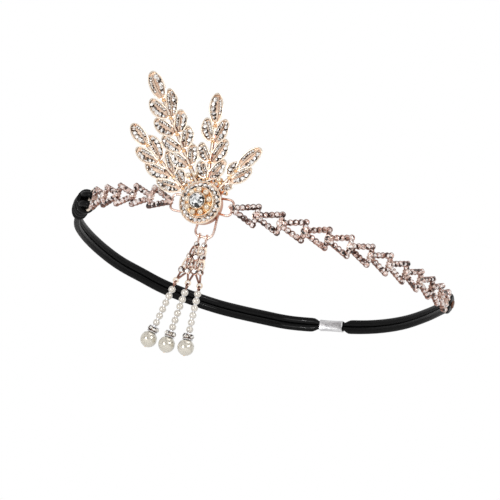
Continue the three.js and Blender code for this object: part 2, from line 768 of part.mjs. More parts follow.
function netPlace(across, down) {
  return vector(BAIL_X + across * NET_WIDTH + down * NET_DRIFT, BAIL_Y - down * NET_DROP, BAIL_LEVEL);
}

function eyeCentre(eye) {
  return netPlace(eye.across, 1);
}

function netSolid() {
  const cups = Object.fromEntries(NET_CUPS.map((cup) => [cup.name, cup]));
  const centre = (name) => netPlace(cups[name].across, cups[name].down);
  const half = NET_CUP_THICKNESS / 2;
  const parts = [];
  for (const cup of NET_CUPS) {
    const place = centre(cup.name);
    parts.push(drum(cup.radius, BAIL_LEVEL - half, BAIL_LEVEL + half, NET_CUP_SIDES, place.x, place.y));
    if (NET_STONE_CUPS.includes(cup.name)) {
      const seat = BAIL_LEVEL + half;
      parts.push(crown(cup.radius * STONE_SHARE, seat - SETTING_BITE, seat + NET_STONE_HEIGHT,
        place.x, place.y));
    }
  }
  for (const [from, to] of NET_WIRES) {
    parts.push(rod(centre(from), centre(to), NET_WIRE, NET_WIRE_SIDES));
  }
  for (const eye of NET_EYES) {
    const place = eyeCentre(eye);
    parts.push(ringLoop(EYE_LOOP_RADIUS, NET_WIRE, EYE_LOOP_STEPS, vector(0, 0, 1))
      .translate(place.x, place.y, place.z));
    for (const name of eye.cups) {
      const towards = centre(name).sub(place).normalize().multiplyScalar(EYE_LOOP_RADIUS);
      parts.push(rod(place.clone().add(towards), centre(name), NET_WIRE, NET_WIRE_SIDES));
    }
  }
  for (const name of 'ab') {
    const cup = centre(name);
    const hook = vector(cup.x, BAIL_Y - NET_HOOK_RADIUS + LUG_WIRE + NET_WIRE + CLEARANCE, BAIL_LEVEL);
    parts.push(ringLoop(NET_HOOK_RADIUS, NET_WIRE, NET_HOOK_STEPS, vector(1, 0, 0))
      .translate(hook.x, hook.y, hook.z));
    parts.push(rod(vector(hook.x, hook.y - NET_HOOK_RADIUS, hook.z), cup, NET_WIRE, NET_WIRE_SIDES));
  }
  return unite(parts);
}

// Frame of one string: origin in the middle of its top loop, Z up along the string
function stringFrame(eye, string) {
  const top = eyeCentre(eye);
  const overlap = 2 * EYE_LOOP_RADIUS - NET_WIRE - STRING_WIRE - CLEARANCE / 2;
  const z = polar(1, 90 + string.lean);
  const y = vector(0, 0, 1);
  const x = y.clone().cross(z).normalize();
  return new THREE.Matrix4().makeBasis(x, y, z).setPosition(top.x, top.y - overlap, top.z);
}

// Heights along the string, downwards from its loop
function stringLevels(eye, string) {
  const topBead = -string.leader - STRING_BEAD_RADIUS;
  const lastBead = topBead - (STRING_BEADS - 1) * (2 * STRING_BEAD_RADIUS + STRING_BEAD_GAP);
  const rondelle = lastBead - STRING_BEAD_RADIUS - CLEARANCE - RONDELLE_HEIGHT;
  const pearl = rondelle - CLEARANCE - DROP_PEARL_RADIUS;
  return { frame: stringFrame(eye, string), pearl, rondelle, lastBead, topBead };
}

function stringSolid(levels) {
  const peg = levels.pearl + DROP_PEARL_RADIUS - DROP_PEG_DEPTH;
  const profile = [[0, peg], [STRING_WIRE, peg]];
  for (let i = 0; i < STRING_BEADS; i += 1) {
    const middle = levels.lastBead + i * (2 * STRING_BEAD_RADIUS + STRING_BEAD_GAP);
    for (const row of BEAD_PROFILE) {
      const out = STRING_WIRE + (STRING_BEAD_RADIUS - STRING_WIRE) * row.out;
      profile.push([out, middle + row.up * STRING_BEAD_RADIUS]);
    }
  }
  profile.push([STRING_WIRE, levels.topBead + STRING_BEAD_RADIUS]);
  profile.push([STRING_WIRE, -EYE_LOOP_RADIUS], [0, -EYE_LOOP_RADIUS]);
  const points = profile.map(([radius, height]) => new THREE.Vector2(radius, height));
  return unite([
    new THREE.LatheGeometry(points, BEAD_SIDES).rotateX(Math.PI / 2),
    ringLoop(EYE_LOOP_RADIUS, STRING_WIRE, EYE_LOOP_STEPS, vector(1, 0, 0)),
  ]);
}

function rondelleSolid() {
  const rim = [
    [STRING_WIRE + CLEARANCE, 0],
    [RONDELLE_RADIUS * RONDELLE_FACE, 0],
    [RONDELLE_RADIUS, RONDELLE_HEIGHT * RONDELLE_BEVEL],
    [RONDELLE_RADIUS, RONDELLE_HEIGHT * (1 - RONDELLE_BEVEL)],
    [RONDELLE_RADIUS * RONDELLE_FACE, RONDELLE_HEIGHT],
    [STRING_WIRE + CLEARANCE, RONDELLE_HEIGHT],
    [STRING_WIRE + CLEARANCE, 0],
  ];
  const points = rim.map(([radius, height]) => new THREE.Vector2(radius, height));
  return new THREE.LatheGeometry(points, RONDELLE_SIDES).rotateX(Math.PI / 2);
}

function dropPearl() {
  const pearl = toSolid(bead(DROP_PEARL_RADIUS, DROP_PEARL_SIDES, DROP_PEARL_RINGS));
  const floor = DROP_PEARL_RADIUS - DROP_PEG_DEPTH - CLEARANCE;
  return pearl.subtract(toSolid(drum(DROP_BORE_RADIUS, floor, DROP_PEARL_RADIUS + 1, PIN_SIDES)));
}

function addTassel() {
  addPiece('tassel_net', toGeometry(withoutPockets(netSolid())), METAL_ROSE, MEDALLION_FRAME);
  const rondelle = rondelleSolid();
  const pearl = toGeometry(dropPearl());
  NET_EYES.forEach((eye, i) => {
    const levels = stringLevels(eye, STRINGS[i]);
    const frame = MEDALLION_FRAME.clone().multiply(levels.frame);
    const at = (z) => frame.clone().multiply(new THREE.Matrix4().setPosition(0, 0, z));
    addPiece(`pearl_string_${i + 1}`, toGeometry(stringSolid(levels)), PEARL, frame);
    addPiece(`rondelle_${i + 1}`, rondelle.clone(), METAL_SILVER, at(levels.rondelle));
    addPiece(`drop_pearl_${i + 1}`, pearl, PEARL, at(levels.pearl));
  });
}

// Chain ends

function endNeck() {
  return [
    eyeBarrel(),
    box(PIN_RADIUS + 2 * CLEARANCE, END_PLATE_START + SOLDER_BITE, -EYE_HALF_LENGTH, EYE_HALF_LENGTH,
      ARM_BACK, ARM_FRONT),
  ];
}

function endPlate() {
  const half = END_PLATE_WIDTH / 2;
  const far = END_PLATE_START + END_PLATE_LENGTH;
  const parts = [
    ...endNeck(),
    box(END_PLATE_START, far, -half, half, ARM_BACK, ARM_FRONT),
  ];
  const column = (END_PLATE_START + far) / 2;
  const rows = Math.floor(END_PLATE_WIDTH / (2 * END_STONE_RADIUS + END_STONE_GAP));
  for (let i = 0; i < rows; i += 1) {
    const y = (i - (rows - 1) / 2) * END_PLATE_WIDTH / rows;
    parts.push(crown(END_STONE_RADIUS, ARM_FRONT - SETTING_BITE, ARM_FRONT + CUP_STONE_HEIGHT, column, y));
  }
  return parts;
}

function addRightEnd() {
  const floor = -(ELASTIC_THICKNESS / 2 + CLEARANCE);
  const back = floor - POST_HEAD_THICKNESS;
  const frame = chainFrame(onBand(RIGHT_END), onBand(POST_ANGLE));
  const solid = unite([
    ...endPlate(),
    box(END_PLATE_START, END_PLATE_START + TONGUE_WALL, -TONGUE_HALF_WIDTH, TONGUE_HALF_WIDTH,
      back, ARM_BACK + SETTING_BITE),
    box(END_PLATE_START, POST_REACH, -TONGUE_HALF_WIDTH, TONGUE_HALF_WIDTH, back, floor),
    drum(POST_HEAD_RADIUS, back, floor, POST_SIDES, POST_REACH),
    drum(POST_RADIUS, back, -back, POST_SIDES, POST_REACH),
    drum(POST_HEAD_RADIUS, -floor, -back, POST_SIDES, POST_REACH),
  ]);
  addPiece('right_end_bar', toGeometry(solid), METAL_ROSE, frame);
}

function addLeftEnd() {
  const frame = chainFrame(onBand(LEFT_END), onBand(RING_ANGLE));
  const plateEnd = END_PLATE_START + RING_PLATE_LENGTH;
  const loop = [
    vector(plateEnd - SOLDER_BITE, -RING_HALF_WIDTH + RING_ROOT_INSET),
    vector(RING_REACH - LUG_CORNER, -RING_HALF_WIDTH),
    vector(RING_REACH, -RING_HALF_WIDTH + LUG_CORNER),
    vector(RING_REACH, 0),
    vector(RING_REACH, RING_HALF_WIDTH - LUG_CORNER),
    vector(RING_REACH - LUG_CORNER, RING_HALF_WIDTH),
    vector(plateEnd - SOLDER_BITE, RING_HALF_WIDTH - RING_ROOT_INSET),
  ];
  const half = RING_HALF_WIDTH;
  const solid = unite([
    ...endNeck(),
    box(END_PLATE_START, plateEnd, -half, half, ARM_BACK, ARM_FRONT),
    bentWire(loop, RING_WIRE, LUG_STEPS, PIN_SIDES, vector(0, 0, 1)),
  ]);
  addPiece('left_end_ring', toGeometry(solid), METAL_ROSE, frame);
}

// Elastic

function elasticCurve() {
  const ring = chainFrame(onBand(LEFT_END), onBand(RING_ANGLE));
  const knotEnd = vector(RING_REACH + KNOT_LENGTH, 0).applyMatrix4(ring);
  const first = POST_ANGLE + angleOfChord(ELASTIC_HEIGHT);
  const last = angleAt(knotEnd) - angleOfChord(ELASTIC_STEP / 2);
  const route = ELASTIC_ROUTE
    .filter((row) => row.angle > first && row.angle < last)
    .map((row) => onBand(row.angle, -ELASTIC_DROP * row.drop));
  return new THREE.CatmullRomCurve3([onBand(POST_ANGLE), ...route, knotEnd], false, 'centripetal');
}

function angleAt(point) {
  return (Math.atan2(point.x, -point.y) / RAD + 360) % 360;
}

// Length along the curve at which it passes an angle on the head
function lengthAt(curve, angle) {
  let [low, high] = [0, 1];
  for (let i = 0; i < 40; i += 1) {
    const middle = (low + high) / 2;
    if (angleAt(curve.getPointAt(middle)) < angle) low = middle;
    else high = middle;
  }
  return low * curve.getLength();
}

function smooth(share) {
  const x = Math.min(1, Math.max(0, share));
  return x * x * (3 - 2 * x);
}

// Half the distance between the strands' middles, and each strand's height, at a length from the post
function strandShape(length, crimpLength) {
  const fromCrimp = Math.abs(length - crimpLength) - CRIMP_LENGTH / 2 - CLEARANCE;
  const pinched = 1 - smooth(fromCrimp / CRIMP_TAPER);
  const height = ELASTIC_HEIGHT * (1 - (1 - CRIMP_STRAND_SHARE) * pinched);
  const atPost = 1 - smooth(length / (3 * ELASTIC_HEIGHT));
  const half = (height + STRAND_GAP) / 2;
  return { height, half: half + (BIGHT_RADIUS - half) * atPost };
}

function elasticStations() {
  const curve = elasticCurve();
  const total = curve.getLength();
  const crimp = lengthAt(curve, CRIMP_ANGLE);
  const reach = CRIMP_LENGTH / 2 + CLEARANCE;
  const steps = Math.round(total / ELASTIC_STEP);
  const even = Array.from({ length: steps + 1 }, (_, i) => total * i / steps);
  const lengths = [
    ...even.filter((length) => Math.abs(length - crimp) > reach + 2 * CRIMP_TAPER),
    crimp - reach - CRIMP_TAPER,
    crimp - reach,
    crimp + reach,
    crimp + reach + CRIMP_TAPER,
    ELASTIC_HEIGHT,
    2 * ELASTIC_HEIGHT,
  ].sort((a, b) => a - b);
  return lengths.map((length) => ({
    point: curve.getPointAt(length / total),
    along: curve.getTangentAt(length / total),
    ...strandShape(length, crimp),
  }));
}

function strandRing(centre, along, height) {
  const out = vector(centre.x, centre.y, 0).normalize();
  const up = along.clone().cross(out).normalize();
  return oval(centre, up, out, height / 2, ELASTIC_THICKNESS / 2, ELASTIC_SIDES);
}

function doubledElastic() {
  const stations = elasticStations();
  const lifted = (station, sign) => station.point.clone().add(vector(0, 0, sign * station.half));
  const upper = stations.map((station) => strandRing(lifted(station, 1), station.along, station.height));
  const lower = stations.map((station) => {
    const back = station.along.clone().negate();
    return strandRing(lifted(station, -1), back, station.height);
  });
  const post = stations[0];
  const back = post.along.clone().negate();
  const bight = [];
  for (let i = 1; i < BIGHT_STEPS; i += 1) {
    const turn = i / BIGHT_STEPS * Math.PI;
    const centre = post.point.clone()
      .add(vector(0, 0, -Math.cos(turn) * post.half))
      .addScaledVector(back, Math.sin(turn) * post.half);
    const along = back.clone().multiplyScalar(Math.cos(turn)).add(vector(0, 0, Math.sin(turn)));
    bight.push(strandRing(centre, along, post.height));
  }
  return loft([...lower.reverse(), ...bight, ...upper]);
}

// Hitch on the end ring: a loop over each half of the ring's bar, and the band that holds them
function knotParts() {
  const frame = chainFrame(onBand(LEFT_END), onBand(RING_ANGLE));
  const round = RING_WIRE + CLEARANCE + KNOT_RADIUS;
  const half = ELASTIC_HEIGHT / 2;
  const end = RING_REACH + KNOT_LENGTH;
  const parts = [-1, 1].map((side) => {
    const y = side * KNOT_SPREAD;
    const near = side * (half + STRAND_GAP / 2);
    const points = [
      vector(end, near, KNOT_RADIUS / 2),
      vector(RING_REACH + KNOT_LENGTH / 2, y, round),
      vector(RING_REACH, y, round),
      vector(RING_REACH - round, y, 0),
      vector(RING_REACH, y, -round),
      vector(RING_REACH + KNOT_LENGTH / 2, y, -round),
      vector(end, near, -KNOT_RADIUS / 2),
    ];
    return bentWire(points, KNOT_RADIUS, KNOT_STEPS, KNOT_SIDES, vector(0, 1, 0));
  });
  const wrap = [];
  for (let i = 0; i < KNOT_STEPS; i += 1) {
    const turn = i / KNOT_STEPS * 2 * Math.PI;
    wrap.push(vector(RING_REACH + KNOT_LENGTH * KNOT_BAND_PLACE,
      KNOT_BAND_HALF_HEIGHT * Math.cos(turn), (round + KNOT_RADIUS * 0.75) * Math.sin(turn)));
  }
  parts.push(closedWire(wrap, ELASTIC_HEIGHT * KNOT_BAND_SHARE));
  return parts.map((part) => part.applyMatrix4(frame));
}

// Ring of round section through a closed row of points
function closedWire(points, radius) {
  const curve = new THREE.CatmullRomCurve3(points, true);
  const shape = new THREE.Shape(oval(vector(0, 0), vector(1, 0), vector(0, 1), radius, radius, KNOT_SIDES)
    .map((point) => new THREE.Vector2(point.x, point.y)));
  const geometry = new THREE.ExtrudeGeometry(shape, {
    steps: points.length, extrudePath: curve, bevelEnabled: false,
  });
  return geometry;
}

function addElastic() {
  addPiece('elastic', toGeometry(withoutPockets(unite([doubledElastic(), ...knotParts()]))), CLOTH_BLACK);
}

function crimpOutline(up, out) {
  const corner = CRIMP_CORNER;
  return [
    [-up, -out * corner], [-up * corner, -out], [up * corner, -out], [up, -out * corner],
    [up, out * corner], [up * corner, out], [-up * corner, out], [-up, out * corner],
  ].map(([x, y]) => new THREE.Vector2(x, y));
}

function addCrimp() {
  const curve = elasticCurve();
  const total = curve.getLength();
  const middle = lengthAt(curve, CRIMP_ANGLE);
  const [from, to] = [-1, 1].map((sign) => curve.getPointAt((middle + sign * CRIMP_LENGTH / 2) / total));
  const strand = strandShape(middle, middle);
  const up = strand.half + strand.height / 2 + CLEARANCE;
  const out = ELASTIC_THICKNESS / 2 + CLEARANCE;
  const sleeve = new THREE.Shape(crimpOutline(up + CRIMP_WALL, out + CRIMP_WALL));
  sleeve.holes.push(new THREE.Path(crimpOutline(up, out).reverse()));
  const geometry = new THREE.ExtrudeGeometry(sleeve, { depth: CRIMP_LENGTH, bevelEnabled: false })
    .translate(0, 0, -CRIMP_LENGTH / 2);
  const z = to.clone().sub(from).normalize();
  const outside = vector(from.x + to.x, from.y + to.y, 0).normalize();
  const x = outside.cross(z).normalize();
  const y = z.clone().cross(x).normalize();
  const place = from.add(to).multiplyScalar(0.5);
  addPiece('crimp', geometry, METAL_SILVER, new THREE.Matrix4().makeBasis(x, y, z).setPosition(place));
}

addBrooch();
addBroochPearls();
addCrystal();
addLinks();
addRightEnd();
addLeftEnd();
addTassel();
addElastic();
addCrimp();

export default headband;
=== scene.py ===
"""Beaded leaf headband: stone-set medallion, leaf sprays, link chains, pearl tassel and elastic.

Every local length is in millimetres, and each piece is brought to metres when it is finished.
"""

import logging
import math
import random
from dataclasses import dataclass, replace
from enum import Enum
from typing import Dict, Iterable, List, Optional, Sequence, Set, Tuple, Union

import bmesh
import bpy
from mathutils import Matrix, Vector


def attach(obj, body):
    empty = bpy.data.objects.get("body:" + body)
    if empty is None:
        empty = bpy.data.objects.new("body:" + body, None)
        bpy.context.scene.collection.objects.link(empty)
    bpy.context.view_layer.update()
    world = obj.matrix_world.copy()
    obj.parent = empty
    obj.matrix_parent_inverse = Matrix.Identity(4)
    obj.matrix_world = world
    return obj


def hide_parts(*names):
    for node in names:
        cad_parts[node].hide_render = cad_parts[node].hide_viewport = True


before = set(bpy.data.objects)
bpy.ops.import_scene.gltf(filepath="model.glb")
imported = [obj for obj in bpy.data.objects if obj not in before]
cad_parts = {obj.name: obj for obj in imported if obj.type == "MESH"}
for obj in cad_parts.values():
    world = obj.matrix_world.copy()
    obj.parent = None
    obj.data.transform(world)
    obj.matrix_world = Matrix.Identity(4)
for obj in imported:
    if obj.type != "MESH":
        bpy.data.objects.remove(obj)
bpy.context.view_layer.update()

MM = 0.001
CLEARANCE = 0.3
BAND_RADIUS = 86.0
CASE_BACK_RADIUS = 84.4
MEDALLION_ANGLE = -21.2
STONE_TILT = 0.16
# Ranges of the shade list that stone facets draw from: painted shade on one side, painted light on
# the other.
PAINTED_SHADE_SHARES, PAINTED_LIGHT_SHARES = (0.72, 1.0), (0.0, 0.66)
SHARP_ANGLE = math.radians(38)
SPLINE_STEPS = 24
LEAF_PEAK = 0.4863
UP = Vector((0.0, 0.0, 1.0))
log = logging.getLogger("headband")

Colour = Tuple[float, float, float]
Profile = Sequence[Tuple[float, float]]
Zone = Tuple[float, float, float, float, "Finish"]
Vert, Edge, Face = bmesh.types.BMVert, bmesh.types.BMEdge, bmesh.types.BMFace
Socket = bpy.types.NodeSocket
Inputs = Dict[Union[str, int], object]


class Sparkle(Enum):
    """Painted reflections that the facets of one kind of stone take, from bright flash to black,
    each with its share.
    """

    CLEAR = (
        (0.46, (1.0, 0.99, 0.97)),
        (0.12, (0.80, 0.74, 0.68)),
        (0.12, (0.36, 0.22, 0.14)),
        (0.12, (0.10, 0.055, 0.03)),
        (0.18, (0.006, 0.005, 0.004)),
    )
    ROSY = (
        (0.32, (1.0, 0.93, 0.90)),
        (0.18, (0.80, 0.56, 0.48)),
        (0.16, (0.36, 0.17, 0.12)),
        (0.16, (0.11, 0.04, 0.028)),
        (0.18, (0.008, 0.005, 0.004)),
    )
    CENTRE = (
        (0.56, (1.0, 1.0, 1.0)),
        (0.18, (0.84, 0.86, 0.86)),
        (0.10, (0.36, 0.38, 0.38)),
        (0.16, (0.01, 0.012, 0.014)),
    )
    SMOKY = (
        (0.44, (1.0, 0.98, 0.93)),
        (0.14, (0.52, 0.44, 0.34)),
        (0.20, (0.10, 0.085, 0.07)),
        (0.22, (0.008, 0.007, 0.006)),
    )

    def pick(self, rng: random.Random, low: float = 0.0, high: float = 1.0) -> Colour:
        """One shade by its share.

        Args:
            rng: the piece's random numbers.
            low: the lightest shade's place among the shares.
            high: the darkest shade's place.

        Returns:
            The shade.
        """
        roll = rng.uniform(low, high)
        for share, colour in self.value:
            roll -= share
            if roll <= 0:
                return colour
        return self.value[-1][1]


class Nodes:
    """Short way to place and join shader nodes in one tree."""

    def __init__(self, tree: bpy.types.NodeTree) -> None:
        """Keeps the tree that the nodes go into."""
        self.tree = tree

    def add(self, kind: str, values: Optional[Inputs] = None, **settings: object) -> bpy.types.Node:
        """Places a node.

        Args:
            kind: the node's type name.
            values: a value or a socket to join for each of its inputs, by name or number.
            **settings: attributes of the node itself.

        Returns:
            The node.
        """
        node = self.tree.nodes.new(kind)
        for key, value in settings.items():
            setattr(node, key, value)
        for key, value in (values or {}).items():
            if isinstance(value, Socket):
                self.tree.links.new(value, node.inputs[key])
            else:
                node.inputs[key].default_value = value
        return node

    def ramp(self, out: Socket, stops: Sequence[Tuple[float, Colour]]) -> Socket:
        """A colour ramp fed by a socket.

        Args:
            out: the value that drives it.
            stops: places from 0 to 1 and their colours.

        Returns:
            The ramp's colour socket.
        """
        node = self.add("ShaderNodeValToRGB", {"Fac": out})
        elements = node.color_ramp.elements
        while len(elements) > 1:
            elements.remove(elements[-1])
        elements[0].position, elements[0].color = stops[0][0], (*stops[0][1], 1.0)
        for place, colour in stops[1:]:
            elements.new(place).color = (*colour, 1.0)
        return node.outputs["Color"]

    def spread(self, out: Socket, low: float, high: float) -> Socket:
        """A value from 0 to 1 spread between two others."""
        values = {"Value": out, "To Min": low, "To Max": high}
        return self.add("ShaderNodeMapRange", values).outputs["Result"]

    def noise(self, scale: Union[float, Socket], detail: float, roughness: float = 0.5,
              space: str = "Object") -> Socket:
        """A cloudy noise.

        Args:
            scale: its scale, as a number or a socket.
            detail: its detail.
            roughness: how strong the detail is.
            space: the coordinates that it reads.

        Returns:
            The noise's value.
        """
        place = self.add("ShaderNodeTexCoord").outputs[space]
        values = {"Vector": place, "Scale": scale, "Detail": detail, "Roughness": roughness}
        return self.add("ShaderNodeTexNoise", values).outputs["Fac"]

    def bump(self, height: Socket, strength: float, distance: float) -> Socket:
        """A bumped normal from a height."""
        values = {"Height": height, "Strength": strength, "Distance": distance}
        return self.add("ShaderNodeBump", values).outputs["Normal"]


def cast_grain() -> bpy.types.ShaderNodeTree:
    """Node group for cast and polished metal: uneven tone, wear of the polish and a fine height.

    Returns:
        The group, with inputs Scale and Contrast and outputs Tone, Wear and Height.
    """
    name = "cast_grain"
    if name in bpy.data.node_groups:
        return bpy.data.node_groups[name]
    group = bpy.data.node_groups.new(name, "ShaderNodeTree")
    for label, value in (("Scale", 300.0), ("Contrast", 0.5)):
        socket = group.interface.new_socket(label, in_out="INPUT", socket_type="NodeSocketFloat")
        socket.default_value = value
    for label in ("Tone", "Wear", "Height"):
        group.interface.new_socket(label, in_out="OUTPUT", socket_type="NodeSocketFloat")
    nodes = Nodes(group)
    into = nodes.add("NodeGroupInput").outputs
    cloud = nodes.noise(into["Scale"], 3.0, 0.55)
    tone = nodes.add("ShaderNodeMath", {0: cloud, 1: into["Contrast"]}, operation="MULTIPLY")
    fine = nodes.add("ShaderNodeMath", {0: into["Scale"], 1: 6.0}, operation="MULTIPLY")
    speck = nodes.noise(fine.outputs[0], 2.0)
    nodes.add("NodeGroupOutput", {"Tone": tone.outputs[0], "Wear": speck, "Height": speck})
    return group


@dataclass(frozen=True)
class Finish:
    """A finish of the headband; each kind has its own look, and its material is made once."""

    name: str

    def material(self) -> bpy.types.Material:
        """The finish's material, made at the first use.

        Returns:
            The material.
        """
        if self.name in bpy.data.materials:
            return bpy.data.materials[self.name]
        made = bpy.data.materials.new(self.name)
        made.use_nodes = True
        made.node_tree.nodes.clear()
        nodes = Nodes(made.node_tree)
        shader = nodes.add("ShaderNodeBsdfPrincipled", self.look(nodes))
        nodes.add("ShaderNodeOutputMaterial", {"Surface": shader.outputs["BSDF"]})
        return made

    def look(self, nodes: Nodes) -> Inputs:
        """The inputs of the finish's shader."""
        raise NotImplementedError


@dataclass(frozen=True)
class Metal(Finish):
    """Plated or polished metal with a slightly uneven tone."""

    light: Colour
    deep: Colour
    roughness: float
    grain: float = 260.0

    def look(self, nodes: Nodes) -> Inputs:
        """The inputs of the metal's shader.

        Args:
            nodes: the material's nodes.

        Returns:
            The values and sockets by input.
        """
        values = {"Scale": self.grain, "Contrast": 1.0}
        grain = nodes.add("ShaderNodeGroup", values, node_tree=cast_grain()).outputs
        return {
            "Base Color": nodes.ramp(grain["Tone"], ((0.32, self.deep), (0.62, self.light))),
            "Roughness": nodes.spread(grain["Wear"], self.roughness * 0.7, self.roughness * 1.5),
            "Normal": nodes.bump(grain["Height"], 0.25, 0.00002),
            "Metallic": 1.0,
        }


@dataclass(frozen=True)
class CutStone(Finish):
    """Foil-backed cut glass, whose facets carry painted reflections in their colour: bright flashes
    and dark facets.
    """

    def look(self, nodes: Nodes) -> Inputs:
        """The inputs of the stone's shader.

        Args:
            nodes: the material's nodes.

        Returns:
            The values and sockets by input.
        """
        tone = nodes.add("ShaderNodeAttribute", attribute_name="tone").outputs["Color"]
        place = nodes.add("ShaderNodeTexCoord").outputs["Object"]
        # Painted glint: a fine random brightening and darkening of each facet's shade.
        painted_glint = nodes.add("ShaderNodeTexVoronoi", {"Vector": place, "Scale": 1500.0})
        shade = nodes.spread(painted_glint.outputs["Color"], 0.72, 1.1)
        mix = nodes.add("ShaderNodeVectorMath", {0: tone, "Scale": shade}, operation="SCALE")
        return {
            "Base Color": mix.outputs["Vector"],
            "Roughness": 0.06,
            "Metallic": 0.12,
            "Specular IOR Level": 0.6,
            "Coat Weight": 0.5,
            "Coat Roughness": 0.03,
        }


@dataclass(frozen=True)
class PearlCoat(Finish):
    """Ivory pearl lacquer with a soft lustre under a clear gloss."""

    light: Colour
    warm: Colour

    def look(self, nodes: Nodes) -> Inputs:
        """The inputs of the pearl's shader.

        Args:
            nodes: the material's nodes.

        Returns:
            The values and sockets by input.
        """
        cloud = nodes.noise(90.0, 0.0)
        return {
            "Base Color": nodes.ramp(cloud, ((0.3, self.warm), (0.7, self.light))),
            "Roughness": nodes.spread(cloud, 0.12, 0.2),
            "Metallic": 0.5,
            "Specular IOR Level": 0.75,
            "Coat Weight": 1.0,
            "Coat Roughness": 0.05,
            "Coat IOR": 2.0,
        }


@dataclass(frozen=True)
class Braid(Finish):
    """Tightly braided black elastic, whose pattern runs along its own map."""

    dark: Colour
    light: Colour

    def look(self, nodes: Nodes) -> Inputs:
        """The inputs of the braid's shader.

        Args:
            nodes: the material's nodes.

        Returns:
            The values and sockets by input.
        """
        laid = nodes.add("ShaderNodeUVMap", uv_map="weave").outputs["UV"]
        waves: Inputs = {}
        for i, angle in enumerate((0.7, -0.7)):
            turned = nodes.add("ShaderNodeMapping", {"Vector": laid, "Rotation": (0.0, 0.0, angle)})
            values = {"Vector": turned.outputs["Vector"], "Scale": 1.2, "Distortion": 0.6,
                      "Detail": 1.0}
            waves[i] = nodes.add("ShaderNodeTexWave", values).outputs["Fac"]
        both = nodes.add("ShaderNodeMath", waves, operation="MULTIPLY").outputs[0]
        return {
            "Base Color": nodes.ramp(both, ((0.0, self.dark), (1.0, self.light))),
            "Roughness": nodes.spread(both, 0.5, 0.36),
            "Normal": nodes.bump(both, 0.5, 0.0001),
            "Specular IOR Level": 0.05,
            "Coat Weight": 0.2,
            "Coat Roughness": 0.07,
        }


@dataclass(frozen=True)
class Paint(Finish):
    """Flat, slightly cloudy paint of the studio floor."""

    dark: Colour
    light: Colour

    def look(self, nodes: Nodes) -> Inputs:
        """The inputs of the paint's shader."""
        cloud = nodes.ramp(nodes.noise(3.0, 2.0), ((0.3, self.dark), (0.7, self.light)))
        return {"Base Color": cloud, "Roughness": 0.9}


ROSE = Metal("rose_plate", (0.97, 0.80, 0.70), (0.86, 0.62, 0.50), 0.15)
PALE = Metal("pale_rims", (1.0, 0.90, 0.77), (0.97, 0.80, 0.64), 0.28)
# Dark brown metal: painted shade under and between stones on the link arms and rondelles; also the
# post's dark cap.
DARK_BROWN = Metal("dark_brown", (0.22, 0.11, 0.07), (0.08, 0.035, 0.02), 0.45)
# Darker rose on the sunk floors of the leaves and the pave ring: painted shade in these recesses.
RECESS_SHADE = Metal("recess_shade_rose", (0.80, 0.60, 0.46), (0.46, 0.28, 0.19), 0.35)
# Deep copper on the case's side wall: painted shade on that side of one rose metal.
SIDE_SHADE = Metal("side_shade_copper", (0.80, 0.36, 0.17), (0.40, 0.12, 0.05), 0.3)
GOLD = Metal("orange_gold", (0.96, 0.66, 0.38), (0.78, 0.40, 0.17), 0.16)
BANDMETAL = Metal("rosy_links", (0.86, 0.66, 0.57), (0.50, 0.30, 0.24), 0.18)
# Dark rose: painted shade in cups between stones, under the stems, on some net wires and between
# beads.
SHADE_ROSE = Metal("dark_rose_shade", (0.46, 0.25, 0.19), (0.13, 0.05, 0.035), 0.2)
SILVER = Metal("crimp_silver", (0.86, 0.86, 0.87), (0.66, 0.66, 0.68), 0.2, 500.0)
STONE = CutStone("cut_stone")
PEARL = PearlCoat("ivory_pearl", (0.71, 0.67, 0.58), (0.65, 0.61, 0.51))
WARM_PEARL = PearlCoat("warm_pearl", (0.82, 0.71, 0.57), (0.75, 0.61, 0.45))
SMALL_PEARL = PearlCoat("small_pearl", (0.74, 0.70, 0.63), (0.68, 0.63, 0.55))
ELASTIC = Braid("black_braid", (0.0008, 0.0008, 0.001), (0.0045, 0.0045, 0.005))
FLOOR = Paint("pale_floor", (0.91, 0.91, 0.91), (0.93, 0.93, 0.93))


@dataclass(frozen=True)
class Cup:
    """A stone in its cup: the cup's radii and heights, and the stone's radius and rise."""

    foot: float
    mouth: float
    low: float
    high: float
    stone: float
    rise: float
    finish: Finish
    sparkle: Sparkle
    sides: int
    table: float = 0.46
    bevel: float = 0.0
    sink: float = 0.05


# Cups in the dark rose (arm, mouth, oval and net cups) paint shade between their stones.
INNER_CUP = Cup(0.85, 0.95, -1.2, 0.5, 0.8, 0.6, GOLD, Sparkle.CLEAR, 10)
OUTER_CUP = Cup(0.95, 1.05, -1.2, 0.5, 0.9, 0.65, GOLD, Sparkle.CLEAR, 10)
ARM_CUP = Cup(1.1, 1.4, -0.45, 0.85, 1.22, 0.95, SHADE_ROSE, Sparkle.ROSY, 12, table=0.55)
MOUTH_CUP = Cup(0.85, 1.28, -0.4, 0.85, 1.14, 0.85, SHADE_ROSE, Sparkle.ROSY, 10, table=0.6)
EYE_CUP = Cup(1.2, 1.65, 0.7, 1.9, 1.45, 0.8, BANDMETAL, Sparkle.ROSY, 14, bevel=0.1)
PLATE_CUP = Cup(1.12, 1.2, 0.5, 1.0, 1.02, 0.55, PALE, Sparkle.ROSY, 14)
OVAL_CUP = Cup(0.95, 1.05, -0.6, 0.3, 1.0, 0.6, SHADE_ROSE, Sparkle.CLEAR, 10)
NET_CUP = Cup(0.85, 1.0, -0.75, 0.72, 0.84, 0.7, SHADE_ROSE, Sparkle.CLEAR, 14, 0.6, 0.12, 0.02)


def vec(x: float, y: float, z: float = 0.0) -> Vector:
    """A vector from its parts."""
    return Vector((x, y, z))


def polar(radius: float, angle: float, z: float = 0.0) -> Vector:
    """A point at a radius and an angle in degrees."""
    turn = math.radians(angle)
    return vec(radius * math.cos(turn), radius * math.sin(turn), z)


